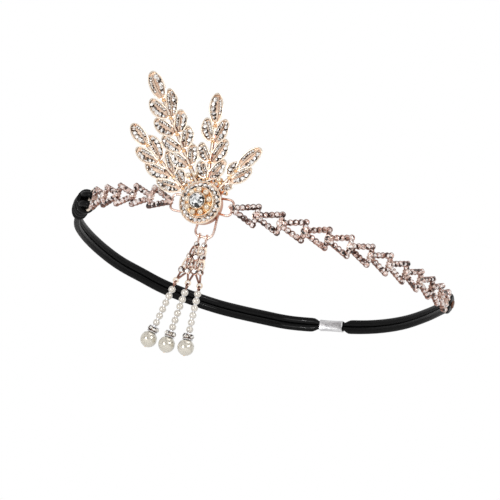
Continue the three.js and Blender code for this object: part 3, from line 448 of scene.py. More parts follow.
def outward(angle: float) -> Vector:
    """The level direction away from the head at an angle from the forehead."""
    turn = math.radians(angle)
    return vec(math.sin(turn), -math.cos(turn))


def level(point: Vector) -> Vector:
    """The level direction from the middle of the head to a point."""
    return vec(point.x, point.y).normalized()


def shift(*place: float) -> Matrix:
    """The unturned frame at a place."""
    return Matrix.Translation(place)


def basis(x: Vector, y: Vector, z: Vector, origin: Vector) -> Matrix:
    """The matrix that brings local axes and origin to the given ones."""
    return shift(*origin) @ Matrix((x, y, z)).transposed().to_4x4()


def along(direction: Vector, place: Vector) -> Matrix:
    """The matrix that turns +Z along a direction and sets the origin at a place."""
    turn = UP.rotation_difference(direction).to_matrix().to_4x4()
    return shift(*place) @ turn


def oval(centre: Vector, one: Vector, other: Vector, count: int) -> List[Vector]:
    """Points round an oval, from its half axes."""
    turns = [math.tau * i / count for i in range(count)]
    return [centre + one * math.cos(turn) + other * math.sin(turn) for turn in turns]


def hoop(foot: float, reach: float, low: float, high: float, corner: float, z: float = 0.0,
         tuck: float = 0.0) -> List[Vector]:
    """Points of a wire hoop with two legs along X and a bar across their end.

    Args:
        foot: where both legs start.
        reach: where the bar runs.
        low: the lower leg's Y.
        high: the upper leg's Y.
        corner: the size of its rounded corners.
        z: its height.
        tuck: how far the legs' starts lie inwards.

    Returns:
        The points.
    """
    bend = math.copysign(corner, reach)
    return [vec(foot, low + tuck, z), vec(reach - bend, low, z), vec(reach, low + corner, z),
            vec(reach, (low + high) / 2, z), vec(reach, high - corner, z),
            vec(reach - bend, high, z), vec(foot, high - tuck, z)]


def lengths_along(points: Sequence[Vector]) -> List[float]:
    """The distance of each point from the first, along the row.

    Args:
        points: the row.

    Returns:
        The distances.
    """
    lengths = [0.0]
    for a, b in zip(points, points[1:]):
        lengths.append(lengths[-1] + (b - a).length)
    return lengths


def blend(a: Vector, start: float, b: Vector, end: float, t: float) -> Vector:
    """The point at t on the line that has one point at its start and another at its end."""
    return a * ((end - t) / (end - start)) + b * ((t - start) / (end - start))


def spline(points: Sequence[Vector], samples: int) -> List[Vector]:
    """Points at even lengths on a centripetal Catmull-Rom curve, which never loops.

    Args:
        points: the curve's control points.
        samples: how many points come back.

    Returns:
        The points, from the curve's start to its end.
    """
    row = [2 * points[0] - points[1], *points, 2 * points[-1] - points[-2]]
    fine: List[Vector] = []
    for p0, p1, p2, p3 in zip(row, row[1:], row[2:], row[3:]):
        t1 = math.sqrt(max((p1 - p0).length, 1e-6))
        t2 = t1 + math.sqrt(max((p2 - p1).length, 1e-6))
        t3 = t2 + math.sqrt(max((p3 - p2).length, 1e-6))
        for k in range(SPLINE_STEPS):
            t = t1 + (t2 - t1) * k / SPLINE_STEPS
            a1, a2 = blend(p0, 0.0, p1, t1, t), blend(p1, t1, p2, t2, t)
            a3 = blend(p2, t2, p3, t3, t)
            b1, b2 = blend(a1, 0.0, a2, t2, t), blend(a2, t1, a3, t3, t)
            fine.append(blend(b1, t1, b2, t2, t))
    fine.append(points[-1].copy())
    lengths = lengths_along(fine)
    made, spot = [], 0
    for i in range(samples):
        want = lengths[-1] * i / (samples - 1)
        while spot < len(lengths) - 2 and lengths[spot + 1] < want:
            spot += 1
        span = max(lengths[spot + 1] - lengths[spot], 1e-9)
        made.append(fine[spot].lerp(fine[spot + 1], min(1.0, (want - lengths[spot]) / span)))
    return made


def edges_of(verts: Iterable[Vert]) -> List[Edge]:
    """The edges at some vertices, each once."""
    return list(dict.fromkeys(edge for vert in verts for edge in vert.link_edges))


def faces_of(verts: Iterable[Vert]) -> List[Face]:
    """The faces at some vertices, each once."""
    return list(dict.fromkeys(face for vert in verts for face in vert.link_faces))


class Mould:
    """Gathers the parts of one piece in a bmesh, each with its finish, in a local frame."""

    def __init__(self, name: str, place: Optional[Matrix] = None, seed: int = 1) -> None:
        """Starts an empty piece.

        Args:
            name: the piece's name.
            place: the matrix from its local frame to the headband's, in millimetres.
            seed: the seed of its stones' shades.
        """
        self.name = name
        self.place = place or Matrix.Identity(4)
        self.bm = bmesh.new()
        # Per-corner colour that holds the painted reflection shade of each stone facet.
        self.tone = self.bm.loops.layers.float_color.new("tone")
        self.weave = self.bm.loops.layers.uv.new("weave")
        self.finishes: List[Finish] = []
        self.rng = random.Random(seed)

    def dress(self, verts: Iterable[Vert], finish: Finish, smooth: bool = True) -> List[Face]:
        """Gives the faces of some vertices a finish.

        Args:
            verts: the part's vertices.
            finish: its finish.
            smooth: whether it is shaded smooth.

        Returns:
            The part's faces.
        """
        faces = faces_of(verts)
        for face in faces:
            face.material_index = self.index(finish)
            face.smooth = smooth
        return faces

    def index(self, finish: Finish) -> int:
        """The place of a finish in the piece's list, added when it is new.

        Args:
            finish: the finish.

        Returns:
            Its place.
        """
        if finish not in self.finishes:
            self.finishes.append(finish)
        return self.finishes.index(finish)

    def tint(self, face: Face, shade: Colour) -> None:
        """Paints a facet's reflection shade into its colour."""
        for loop in face.loops:
            loop[self.tone] = (*shade, 1.0)

    def circle(self, sides: int, place: Matrix) -> Tuple[List[Vert], List[Edge]]:
        """Adds a round ring of vertices.

        Args:
            sides: how many vertices.
            place: its frame, with its size.

        Returns:
            The vertices in their order round it, and its edges.
        """
        made = bmesh.ops.create_circle(self.bm, segments=sides, radius=1.0, matrix=place)["verts"]
        ring, inside = [made[0]], set(made)
        while len(ring) < sides:
            last = ring[-1]
            near = [e.other_vert(last) for e in last.link_edges if e.other_vert(last) in inside]
            ring.append(next(v for v in near if v not in ring[-2:] and v not in ring[:1]))
        return ring, edges_of(ring)

    @staticmethod
    def following(ring: Sequence[Vert], fresh: Set[Vert]) -> List[Vert]:
        """The new vertices in the order of the ring that they are joined to."""
        return [next(e.other_vert(v) for e in v.link_edges if e.other_vert(v) in fresh)
                for v in ring]

    def draw_out(self, ring: Sequence[Vert], edges: List[Edge]) -> Tuple[List[Vert], List[Edge]]:
        """Draws a ring out into a new one at the same place.

        Args:
            ring: the ring's vertices in order.
            edges: its edges.

        Returns:
            The new ring's vertices in the same order, and its edges.
        """
        made = bmesh.ops.extrude_edge_only(self.bm, edges=edges)["geom"]
        fresh = {g for g in made if isinstance(g, Vert)}
        drawn = [g for g in made if isinstance(g, Edge) and all(v in fresh for v in g.verts)]
        return self.following(ring, fresh), drawn

    def ball(self, radius: float, at: Vector, finish: Finish, sides: int = 6, rings: int = 4,
             flat: float = 1.0) -> None:
        """Adds a ball.

        Args:
            radius: its radius.
            at: its centre.
            finish: its finish.
            sides: faces round it.
            rings: faces from pole to pole.
            flat: its height as a share of its width.
        """
        matrix = shift(*at) @ Matrix.Diagonal((1.0, 1.0, flat, 1.0))
        made = bmesh.ops.create_uvsphere(self.bm, u_segments=sides, v_segments=rings,
                                         radius=radius, matrix=matrix)
        self.dress(made["verts"], finish)

    def prongs(self, radius: float, reach: float, height: float, at: Matrix,
               finish: Finish) -> None:
        """Adds four small balls that hold a stone or a pearl.

        Args:
            radius: the balls' radius.
            reach: their distance from the middle.
            height: their height.
            at: the frame of what they hold.
            finish: their finish.
        """
        for k in range(4):
            self.ball(radius, at @ polar(reach, 45 + 90 * k, height), finish)

    def drum(self, low: float, high: float, foot: float, top: float, at: Matrix, finish: Finish,
             sides: int = 12, bevel: float = 0.0) -> None:
        """Adds a drum or a cone.

        Args:
            low: its radius at the foot.
            high: its radius at the top.
            foot: the local height of its foot.
            top: the local height of its top.
            at: its frame.
            finish: its finish.
            sides: faces round it.
            bevel: width of its rounded rims, or 0.
        """
        verts = bmesh.ops.create_cone(self.bm, cap_ends=True, segments=sides, radius1=low,
                                      radius2=high, depth=top - foot,
                                      matrix=at @ shift(0.0, 0.0, (foot + top) / 2))["verts"]
        if bevel:
            rims = [e for e in edges_of(verts) if any(len(f.verts) > 4 for f in e.link_faces)]
            soft = bmesh.ops.bevel(self.bm, geom=rims, offset=bevel, segments=2, profile=0.5,
                                   affect="EDGES", material=-1)
            verts = self.island(soft["faces"][0].verts[0])
        self.dress(verts, finish)

    @staticmethod
    def island(start: Vert) -> List[Vert]:
        """All vertices joined to one.

        Args:
            start: the vertex.

        Returns:
            It and the others.
        """
        seen, todo = {start: None}, [start]
        while todo:
            for edge in todo.pop().link_edges:
                for vert in edge.verts:
                    if vert not in seen:
                        seen[vert] = None
                        todo.append(vert)
        return list(seen)

    def block(self, size: Tuple[float, float, float], at: Matrix, finish: Finish,
              bevel: float) -> None:
        """Adds a block with rounded edges.

        Args:
            size: its length along each local axis.
            at: the frame at its middle.
            finish: its finish.
            bevel: the width of its rounded edges.
        """
        made = bmesh.ops.create_cube(self.bm, size=1.0, matrix=at @ Matrix.Diagonal((*size, 1.0)))
        soft = bmesh.ops.bevel(self.bm, geom=edges_of(made["verts"]), offset=bevel, segments=2,
                               profile=0.5, affect="EDGES", material=-1)
        self.dress(self.island(soft["faces"][0].verts[0]), finish)

    def stone(self, radius: float, height: float, at: Matrix, sparkle: Sparkle,
              table: float = 0.46, sides: int = 8) -> None:
        """Adds a cut stone: a girdle, two rows of crown facets and a split table.

        Args:
            radius: its radius.
            height: its height over the girdle.
            at: the frame of its girdle, whose +Z points out of the table.
            sparkle: the painted reflection shades of its facets.
            table: the table's radius as a share of the stone's.
            sides: facets round it.
        """
        tilts = [Matrix.Rotation(self.rng.uniform(-STONE_TILT, STONE_TILT), 4, axis)
                 for axis in "XY"]
        lean = tilts[0] @ tilts[1]
        turn = at @ lean @ Matrix.Rotation(self.rng.random() * math.tau, 4, "Z")
        verts = bmesh.ops.create_cone(self.bm, cap_ends=True, segments=sides, radius1=radius,
                                      radius2=radius * table, depth=height,
                                      matrix=turn @ shift(0.0, 0.0, height / 2))["verts"]
        axis = at.to_3x3() @ UP
        skin = faces_of(verts)
        bmesh.ops.recalc_face_normals(self.bm, faces=skin)
        top = max((f for f in skin if len(f.verts) == sides),
                  key=lambda f: f.calc_center_median().dot(axis))
        poked = bmesh.ops.poke(self.bm, faces=[top], offset=height * 0.12)["verts"]
        walls = [f for f in faces_of(verts) if len(f.verts) == 4]
        split = bmesh.ops.poke(self.bm, faces=walls, offset=radius * 0.03)["verts"]
        faces = self.dress([*verts, *poked, *split], STONE, smooth=False)
        # Painted shade: facets on one random side take dark shades, the rest light ones, and about
        # a fifth of the stones get a dark table.
        shaded = outward(self.rng.uniform(0.0, 360.0))
        painted_dark = self.rng.random() < 0.2
        crown = sparkle.pick(self.rng, 0.5 if painted_dark else 0.0, 0.9 if painted_dark else 0.55)
        inward = turn.inverted()
        for face in faces:
            side = (inward @ face.calc_center_median()).normalized().dot(shaded)
            if poked[0] in face.verts:
                self.tint(face, crown if self.rng.random() < 0.75 else sparkle.pick(self.rng))
            else:
                self.tint(face, sparkle.pick(self.rng, *(PAINTED_SHADE_SHARES if side > 0.25 else PAINTED_LIGHT_SHARES)))

    def cup(self, cup: Cup, at: Matrix) -> None:
        """Adds a stone in its cup.

        Args:
            cup: their sizes and finish.
            at: the cup's frame.
        """
        self.drum(cup.foot, cup.mouth, cup.low, cup.high, at, cup.finish, cup.sides, cup.bevel)
        seat = at @ shift(0.0, 0.0, cup.high - cup.sink)
        self.stone(cup.stone, cup.rise, seat, cup.sparkle, cup.table)

    def tube(self, points: Sequence[Vector], radius: float, finish: Finish, sides: int = 8,
             closed: bool = False, up: Optional[Vector] = None, flat: float = 1.0,
             widths: Optional[Sequence[float]] = None,
             sections: Optional[Sequence[Tuple[Vector, float, float]]] = None) -> None:
        """Adds a wire or cord through some points, by drawing a circle along them.

        Args:
            points: the middle of the wire.
            radius: its half width.
            finish: its finish.
            sides: faces round it.
            closed: whether it comes round to its start.
            up: the direction of its section's second axis.
            flat: the section's second axis as a share of its first.
            widths: a factor on the radius for each point.
            sections: each point's second axis and two half widths, in place of the above.
        """
        count = len(points)
        frames = []
        for i, point in enumerate(points):
            before = points[i - 1] if i or closed else point
            after = points[(i + 1) % count] if i < count - 1 or closed else point
            way = (after - before).normalized()
            side = (sections[i][0] if sections else up).cross(way)
            side = side.normalized() if side.length > 1e-6 else way.orthogonal().normalized()
            wide = radius * (widths[i] if widths else 1.0)
            size = sections[i][1:] if sections else (wide, wide * flat)
            scale = Matrix.Diagonal((*size, 1.0, 1.0))
            frames.append(basis(side, way.cross(side).normalized(), way, point) @ scale)
        ring, first = self.circle(sides, frames[0])
        rings, edges = [ring], first
        for last, now in zip(frames, frames[1:]):
            ring, edges = self.draw_out(ring, edges)
            bmesh.ops.transform(self.bm, matrix=now @ last.inverted(), verts=ring)
            rings.append(ring)
        if closed:
            bmesh.ops.bridge_loops(self.bm, edges=[*first, *edges])
        else:
            bmesh.ops.contextual_create(self.bm, geom=first)
            bmesh.ops.contextual_create(self.bm, geom=edges)
        faces = self.dress([v for ring in rings for v in ring], finish)
        self.unwrap(rings, points, faces, radius)

    def unwrap(self, rings: Sequence[Sequence[Vert]], points: Sequence[Vector],
               faces: Iterable[Face], radius: float) -> None:
        """Lays the weave map round and along a cord, in millimetres.

        Args:
            rings: its rings of vertices in order.
            points: the middle of each ring.
            faces: its faces.
            radius: its half width.
        """
        lengths = lengths_along(points)
        count = len(rings[0])
        spots = {v: (i / count, length) for ring, length in zip(rings, lengths)
                 for i, v in enumerate(ring)}
        for face in faces:
            turns = [spots[v][0] for v in face.verts]
            seam = max(turns) - min(turns) > 0.5 and len(face.verts) == 4
            for loop in face.loops:
                turn, length = spots[loop.vert]
                over = 1.0 if seam and turn < 0.5 else 0.0
                loop[self.weave].uv = ((turn + over) * math.tau * radius, length)

    def lathe(self, profile: Profile, finish: Finish, sides: int, zones: Sequence[Zone]) -> None:
        """Adds a turned form round the local +Z.

        Args:
            profile: radius and height of each corner.
            finish: its finish.
            sides: faces round it.
            zones: least and most radius and height, and the finish of the faces between them.
        """
        verts = [self.bm.verts.new((radius, 0.0, height)) for radius, height in profile]
        edges = [self.bm.edges.new(pair) for pair in zip(verts, verts[1:])]
        spun = bmesh.ops.spin(self.bm, geom=[*verts, *edges], cent=(0, 0, 0), axis=(0, 0, 1),
                              angle=math.tau, steps=sides, use_merge=True)
        skin = self.island(next(v for v in verts if v.is_valid))
        bmesh.ops.remove_doubles(self.bm, verts=skin, dist=1e-4)
        ends = [*verts, *(g for g in spun["geom_last"] if isinstance(g, Vert))]
        faces = self.dress(self.island(next(v for v in ends if v.is_valid)), finish)
        for near, far, low, high, other in zones:
            for face in faces:
                middle = face.calc_center_median()
                if near < middle.xy.length < far and low < middle.z < high:
                    face.material_index = self.index(other)

    def cast(self, slot: str, node: str) -> None:
        """Finishes the piece as an object at the origin that rides with the headband.

        Args:
            slot: the record's material slot; not used.
            node: the solid that the piece stands for.
        """
        bmesh.ops.recalc_face_normals(self.bm, faces=list(self.bm.faces))
        whole = Matrix.Scale(MM, 4) @ self.place
        bmesh.ops.transform(self.bm, matrix=whole, verts=list(self.bm.verts))
        mesh = bpy.data.meshes.new(self.name)
        self.bm.to_mesh(mesh)
        self.bm.free()
        for finish in self.finishes:
            mesh.materials.append(finish.material())
        mesh.set_sharp_from_angle(angle=SHARP_ANGLE)
        piece = bpy.data.objects.new(self.name, mesh)
        bpy.context.scene.collection.objects.link(piece)
        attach(piece, "root")
        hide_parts(node)
        log.info("%s: %d faces", self.name, len(mesh.polygons))


@dataclass
class Band:
    """The ring that the chains lie on, with its height at each angle from the forehead."""

    drop: float = 4.0
    heights: Sequence[Tuple[float, float]] = (
        (-80, 1.5), (-66, 1.05), (-52, 0.55), (-40, 0.27), (-31, 0.35), (-12.6, -0.27),
        (-4, -0.12), (4, 0), (20, 0), (37, 0.37), (50, 0.6), (60, 0.8), (72, 1), (80, 0.85),
    )

    def height(self, angle: float) -> float:
        """The band's height at an angle.

        Args:
            angle: the angle from the forehead.

        Returns:
            The height.
        """
        rows = self.heights
        after = next((i for i, row in enumerate(rows) if row[0] >= angle), len(rows) - 1)
        (a0, d0), (a1, d1) = rows[max(0, after - 1)], rows[max(1, after)]
        return -self.drop * (d0 + (d1 - d0) * (angle - a0) / (a1 - a0))

    def point(self, angle: float, height: Optional[float] = None) -> Vector:
        """A point on the band."""
        height = self.height(angle) if height is None else height
        return outward(angle) * BAND_RADIUS + UP * height

    @staticmethod
    def chord(length: float) -> float:
        """The angle that a straight length takes on the band, in degrees."""
        return math.degrees(2 * math.asin(length / 2 / BAND_RADIUS))

    def frame(self, start: float, end: float) -> Matrix:
        """The frame at one angle whose X runs to another and whose Z faces away from the head.

        Args:
            start: the angle of its origin.
            end: the angle that X runs to.

        Returns:
            The frame.
        """
        here, there = self.point(start), self.point(end)
        x = (there - here).normalized()
        y = level(here + there).cross(x).normalized()
        return basis(x, y, x.cross(y).normalized(), here)


def medallion_frame() -> Matrix:
    """The medallion's frame: Y up and Z away from the head, at the middle of its back."""
    z = outward(MEDALLION_ANGLE)
    return basis(UP.cross(z), UP, z, z * CASE_BACK_RADIUS)


BAND = Band()
MEDALLION = medallion_frame()


@dataclass
class Medallion:
    """The round case with its pave ring, pearl ring, centre stone and wire lugs."""

    case_radius: float = 9.3
    back_width: float = 8.5
    case_height: float = 5.7
    pave_floor: float = 5.1
    inner_rim: float = 6.45
    pearl_floor: float = 6.5
    bezel_radius: float = 3.7
    bezel_wall: float = 0.4
    bezel_height: float = 9.6
    left_reach: float = 14.6
    right_reach: float = 12.9
    wire: float = 0.42
    lug_wire: float = 0.504
    lug_half_width: float = 3.3
    lug_corner: float = 1.1
    bail: Tuple[float, float, float] = (3.7, -13.2, 0.7)
    bail_half_width: float = 3.9
    bail_corner: float = 1.5
    pave_stones: int = 24
    pave_stone: float = 1.02
    pave_rise: float = 0.7
    pave_prong: float = 0.27
    claws: int = 8
    claw_radius: float = 0.3
    pearls: int = 9
    pearl_radius: float = 1.25
    single_radius: float = 1.15
    single_height: float = 4.65
    singles: Sequence[Tuple[float, float]] = ((4.3, 131), (3.7, 118.5), (3.0, 66))
    scrolls: Sequence[Tuple[float, float, int]] = (
        (1.7, 47, 1), (2.3, 56, -1), (3.4, 84, 1), (3.2, 103, -1), (2.6, 146, 1))
    collar: Tuple[float, float, int] = (40, 158, 14)
    collar_reach: float = 4.4
    collar_back: float = 0.6
    collar_thickness: float = 1.3

    @property
    def left_start(self) -> float:
        """The angle of the left lug's bar."""
        return MEDALLION_ANGLE - math.degrees(math.asin(self.left_reach / BAND_RADIUS))

    @property
    def right_start(self) -> float:
        """The angle of the right lug's bar."""
        return MEDALLION_ANGLE + math.degrees(math.asin(self.right_reach / BAND_RADIUS))

    @property
    def pearl_ring(self) -> float:
        """The radius of the ring of pearls."""
        return (self.inner_rim - 0.45 + self.bezel_radius) / 2

    def build(self) -> None:
        """Builds the case, its centre stone and its pearls."""
        self.case()
        self.centre()
        self.set_pearls()

    def case(self) -> None:
        """Turns the case and sets its stones and prongs."""
        mould = Mould("medallion_case", MEDALLION, seed=11)
        r, h, rim, floor = self.case_radius, self.case_height, self.inner_rim, self.pearl_floor
        # Zones: painted shade on the side wall and the pave floor, orange gold under the pearls.
        mould.lathe((
            (0, 0), (self.back_width - 0.3, 0), (self.back_width, 0.2), (r - 0.15, h - 1.2),
            (r, h - 0.9), (r + 0.05, h - 0.5), (r, h - 0.1), (r - 0.25, h + 0.05),
            (r - 0.5, h - 0.1), (r - 0.6, h - 0.5), (r - 0.6, self.pave_floor),
            (rim, self.pave_floor + 0.1), (rim, 6.5), (rim - 0.1, 6.8), (rim - 0.25, 6.92),
            (rim - 0.42, 6.8), (rim - 0.47, floor), (2.9, floor), (3.1, 7.6), (3.62, 9.2),
            (3.7, 9.5), (3.6, 9.72), (3.4, 9.6), (3.3, 9.2), (3.2, 8.3), (0, 8.2),
        ), PALE, 72, ((8.3, 10, 0.1, 5.0, SIDE_SHADE), (3.72, 6.0, 6.3, 6.7, GOLD),
                      (6.6, 8.6, 4.9, 5.3, RECESS_SHADE)))
        middle, step = (r - 0.6 + rim) / 2, 360 / self.pave_stones
        for i in range(self.pave_stones):
            at = shift(*polar(middle, i * step, self.pave_floor + 0.25))
            mould.stone(self.pave_stone, self.pave_rise, at, Sparkle.CLEAR)
            for reach in (r - 0.8, rim + 0.2):
                prong = polar(reach, (i + 0.5) * step, self.pave_floor + 0.6)
                mould.ball(self.pave_prong, prong, PALE)
        spire, step = self.pearl_ring + 0.35, 360 / self.pearls
        for i in range(self.pearls):
            foot = shift(*polar(spire, i * step))
            mould.drum(0.32, 0.16, floor - 0.1, floor + 1.5, foot, GOLD, 6)
            mould.ball(0.24, polar(spire, i * step, floor + 1.5), GOLD)
            seat = shift(*polar(self.pearl_ring, (i + 0.5) * step))
            mould.drum(0.95, 1.0, floor - 0.05, floor + 0.28, seat, GOLD)
        for i in range(self.claws):
            turn = i * 360 / self.claws + 12
            claw = polar(self.bezel_radius - 0.28, turn, self.bezel_height + 0.12)
            mould.ball(self.claw_radius, claw, PALE, 8, 6)
        self.lugs(mould)
        self.build_collar(mould)
        mould.cast("rose_gold", "brooch_frame")

    def lugs(self, mould: Mould) -> None:
        """Bends the three wire lugs.

        Args:
            mould: the case that they join.
        """
        for start in (self.left_start, self.right_start):
            bar = MEDALLION.inverted() @ BAND.point(start)
            foot = math.copysign(self.back_width - 1.2, bar.x)
            points = hoop(foot, bar.x, bar.y - self.lug_half_width, bar.y + self.lug_half_width,
                          self.lug_corner, bar.z)
            mould.tube(spline(points, 33), self.lug_wire, BANDMETAL, 10, up=UP)
        x, y, z = self.bail
        left, right, bend = x - self.bail_half_width, x + self.bail_half_width, self.bail_corner
        ends = [-math.sqrt((self.back_width - 0.6) ** 2 - across**2) for across in (left, right)]
        points = [vec(left, ends[0], z), vec(left, y + bend, z), vec(left + bend, y, z),
                  vec(x, y, z), vec(right - bend, y, z), vec(right, y + bend, z),
                  vec(right, ends[1] - 2.5, z), vec(right, ends[1], z)]
        mould.tube(spline(points, 37), self.lug_wire, BANDMETAL, 10, up=UP)

    def build_collar(self, mould: Mould) -> None:
        """Sets the plate between case and sprays, with its scrolls and the single pearls' cups.

        Args:
            mould: the case that it joins.
        """
        bm, r = mould.bm, self.case_radius
        start, end, steps = self.collar
        inner, outer = [], []
        for i in range(steps + 1):
            angle = start + (end - start) * i / steps
            bulge = 0.25 + 0.75 * math.sin(i / steps * math.pi)
            near, far = self.back_width - 0.8, r + self.collar_reach * bulge
            inner.append(bm.verts.new(polar(near, angle, self.collar_back)))
            outer.append(bm.verts.new(polar(far, angle, self.collar_back)))
        face = bm.faces.new([*inner, *reversed(outer)])
        made = bmesh.ops.extrude_face_region(bm, geom=[face])["geom"]
        lifted = [g for g in made if isinstance(g, Vert)]
        bmesh.ops.translate(bm, vec=UP * self.collar_thickness, verts=lifted)
        mould.dress([*inner, *outer, *lifted], ROSE)
        for beyond, angle in self.singles:
            at = shift(*polar(r + beyond, angle))
            mould.drum(0.9, 1.3, 0.7, 3.2, at, GOLD, 12, 0.12)
            mould.prongs(0.3, 1.12, 3.35, at, GOLD)
        for i in range(13):
            odd = i % 2
            spot = polar(r + (0.95 if odd else 1.5), 38 + i * 10.2, 2.1 + 0.5 * odd)
            mould.cup(INNER_CUP, shift(*spot))
        for i in range(7):
            odd = i % 2
            cup = OUTER_CUP if odd else replace(OUTER_CUP, finish=ROSE)
            mould.cup(cup, shift(*polar(r + 3.1, 58 + i * 14.2, 2.0 + 0.6 * odd)))
        for beyond, angle, turn in self.scrolls:
            centre = polar(r + beyond, angle, 2.2)
            curl = [centre + polar(1.25 - 0.16 * k, angle + turn * 42 * k, 0.08 * k)
                    for k in range(7)]
            mould.tube(spline(curl, 18), 0.3, GOLD, 6, up=UP)

    def centre(self) -> None:
        """Cuts the centre stone."""
        mould = Mould("centre_stone", MEDALLION, seed=5)
        girdle = self.bezel_radius - self.bezel_wall - CLEARANCE
        rings = ((0.3, 8.5, 8, 0.0), (1.0, 9.35, 16, 0.0), (1.0, 9.85, 16, 0.0),
                 (0.86, 10.35, 8, 22.5), (0.62, 10.9, 8, 0.0), (0.45, 11.08, 8, 22.5))
        verts = [mould.bm.verts.new(polar(girdle * share, i * 360 / count + turn, z))
                 for share, z, count, turn in rings for i in range(count)]
        bmesh.ops.convex_hull(mould.bm, input=verts)
        for face in mould.dress(verts, STONE, smooth=False):
            middle = face.calc_center_median()
            # Painted shade: outer facets on the upper right and the lower side are mostly painted
            # near black.
            turn = math.degrees(math.atan2(middle.y, middle.x)) % 360
            shaded = turn < 62 or 232 < turn < 318
            shade = Sparkle.CENTRE.pick(mould.rng)
            if shaded and middle.xy.length > girdle * 0.5 and mould.rng.random() < 0.7:
                shade = (0.012, 0.014, 0.016)
            mould.tint(face, shade)
        mould.cast("crystal", "centre_crystal")

    def set_pearls(self) -> None:
        """Sets the ring of pearls and the single ones."""
        height = self.pearl_floor + CLEARANCE + self.pearl_radius
        ring = [(self.pearl_radius, polar(self.pearl_ring, (i + 0.5) * 360 / self.pearls, height))
                for i in range(self.pearls)]
        single = [(self.single_radius,
                   polar(self.case_radius + beyond, angle, self.single_height))
                  for beyond, angle in self.singles]
        for name, node, pearls in (("ring", "rim", ring), ("single", "accent", single)):
            for i, (radius, at) in enumerate(pearls):
                mould = Mould(f"{name}_pearl_{i + 1:02d}", MEDALLION, seed=i)
                mould.ball(radius, at, WARM_PEARL, 24, 16)
                mould.cast("pearl", f"{node}_pearl_{i + 1:02d}")


@dataclass
class Leaf:
    """One leaf: a raised rim round a sunk floor, with a row of large stones and one of small."""

    length: float
    width: float
    bend: int
    stones: int
    rim: float = 0.7
    back: float = 0.15
    top: float = 1.5
    floor: float = 0.72
    dome: float = 0.35
    points: int = 28
    half: float = 3.25
    blunt: float = 0.52
    bow: float = 0.07
    rib: float = 0.17
    prong: float = 0.22
    stone_rise: float = 0.66
    stone_gap: float = 0.06

    def half_width(self, share: float) -> float:
        """Half the leaf's width at a share of its length."""
        share = min(1.0, max(0.0, share))
        return self.half * self.width * (share * (1 - share)) ** self.blunt / LEAF_PEAK

    def spot(self, share: float, across: float, z: float, inset: float = 0.0) -> Vector:
        """A point of the leaf.

        Args:
            share: the place along its length.
            across: the place across, from -1 to 1.
            z: the height over its back.
            inset: how far the outline is drawn in there.

        Returns:
            The point in the leaf's frame.
        """
        end = inset * 1.5 / self.length
        share = end + share * (1 - 2 * end)
        wave = math.sin(share * math.pi)
        middle = self.bend * self.bow * self.length * wave
        half = max(0.02, self.half_width(share) - inset)
        return vec(share * self.length, middle + across * half, z + self.dome * wave)

    def outline(self, verts: Sequence[Vert], z: float, inset: float, narrow: float = 1.0) -> None:
        """Moves a ring of vertices onto the leaf's outline.

        Args:
            verts: the ring in order.
            z: its height.
            inset: how far it is drawn in.
            narrow: a factor on its width.
        """
        count = len(verts)
        for i, vert in enumerate(verts):
            turn = math.tau * i / count
            side = 0.0 if i in (0, count // 2) else math.copysign(1.0, math.sin(turn))
            vert.co = self.spot((1 + math.cos(turn)) / 2, side * narrow, z, inset)

    def build(self, mould: Mould, at: Matrix) -> None:
        """Adds the leaf to its spray.

        Args:
            mould: the spray.
            at: the leaf's frame in the spray's.
        """
        bm = mould.bm
        round_face = bmesh.ops.create_circle(bm, cap_ends=True, segments=self.points, radius=1.0)
        face = round_face["verts"][0].link_faces[0]
        circle = list(face.verts)
        self.outline(circle, self.top - 0.12, 0.0)
        low, foot = mould.draw_out(circle, list(face.edges))
        self.outline(low, self.back, 0.25, 0.8)
        bmesh.ops.contextual_create(bm, geom=foot)
        ring, verts = circle, [*circle, *low]
        for z, inset in ((self.top, 0.16), (self.top - 0.02, self.rim * 0.8),
                         (self.floor, self.rim)):
            bmesh.ops.inset_individual(bm, faces=[face], thickness=1e-3)
            ring = mould.following(ring, set(face.verts))
            self.outline(ring, z, inset)
            verts += ring
        mould.dress(verts, PALE)
        # The sunk floor takes the darker rose as painted shade.
        face.material_index = mould.index(RECESS_SHADE)
        bmesh.ops.transform(bm, matrix=at, verts=verts)
        self.fill(mould, at)

    def fill(self, mould: Mould, at: Matrix) -> None:
        """Sets the midrib and the two rows of stones.

        A row has its side, its stones' share of the half width, the shares of the length
        where it begins and finishes, and its largest and smallest stone.

        Args:
            mould: the spray.
            at: the leaf's frame.
        """
        rib = [at @ self.spot(0.03 + 0.94 * i / 9, -0.3 * self.stones, self.top - 0.3, self.rim)
               for i in range(10)]
        mould.tube(rib, self.rib, PALE, 6, up=at.to_3x3() @ UP)
        rows = ((self.stones, 0.62, 0.11, 0.92, 1.2, 0.55),
                (-self.stones, 0.33, 0.28, 0.84, 0.62, 0.3))
        for side, part, begin, finish, widest, least in rows:
            place = self.length * begin
            while place < self.length * finish:
                half = self.half_width(place / self.length) - self.rim
                radius = max(least, min(widest, half * part))
                if place + radius > self.length * 0.96:
                    break
                across = side * max(0.0, half - radius * 0.95) / max(half, 0.1)
                spot = self.spot((place + radius) / self.length, across, self.floor + 0.22,
                                 self.rim)
                seat = at @ shift(*spot)
                mould.stone(radius, self.stone_rise, seat, Sparkle.CLEAR, table=0.55)
                place += 2 * radius
                prong = self.spot(place / self.length, side * 0.9, self.floor + 0.6, self.rim)
                mould.ball(self.prong, at @ prong, PALE)
                place += self.stone_gap


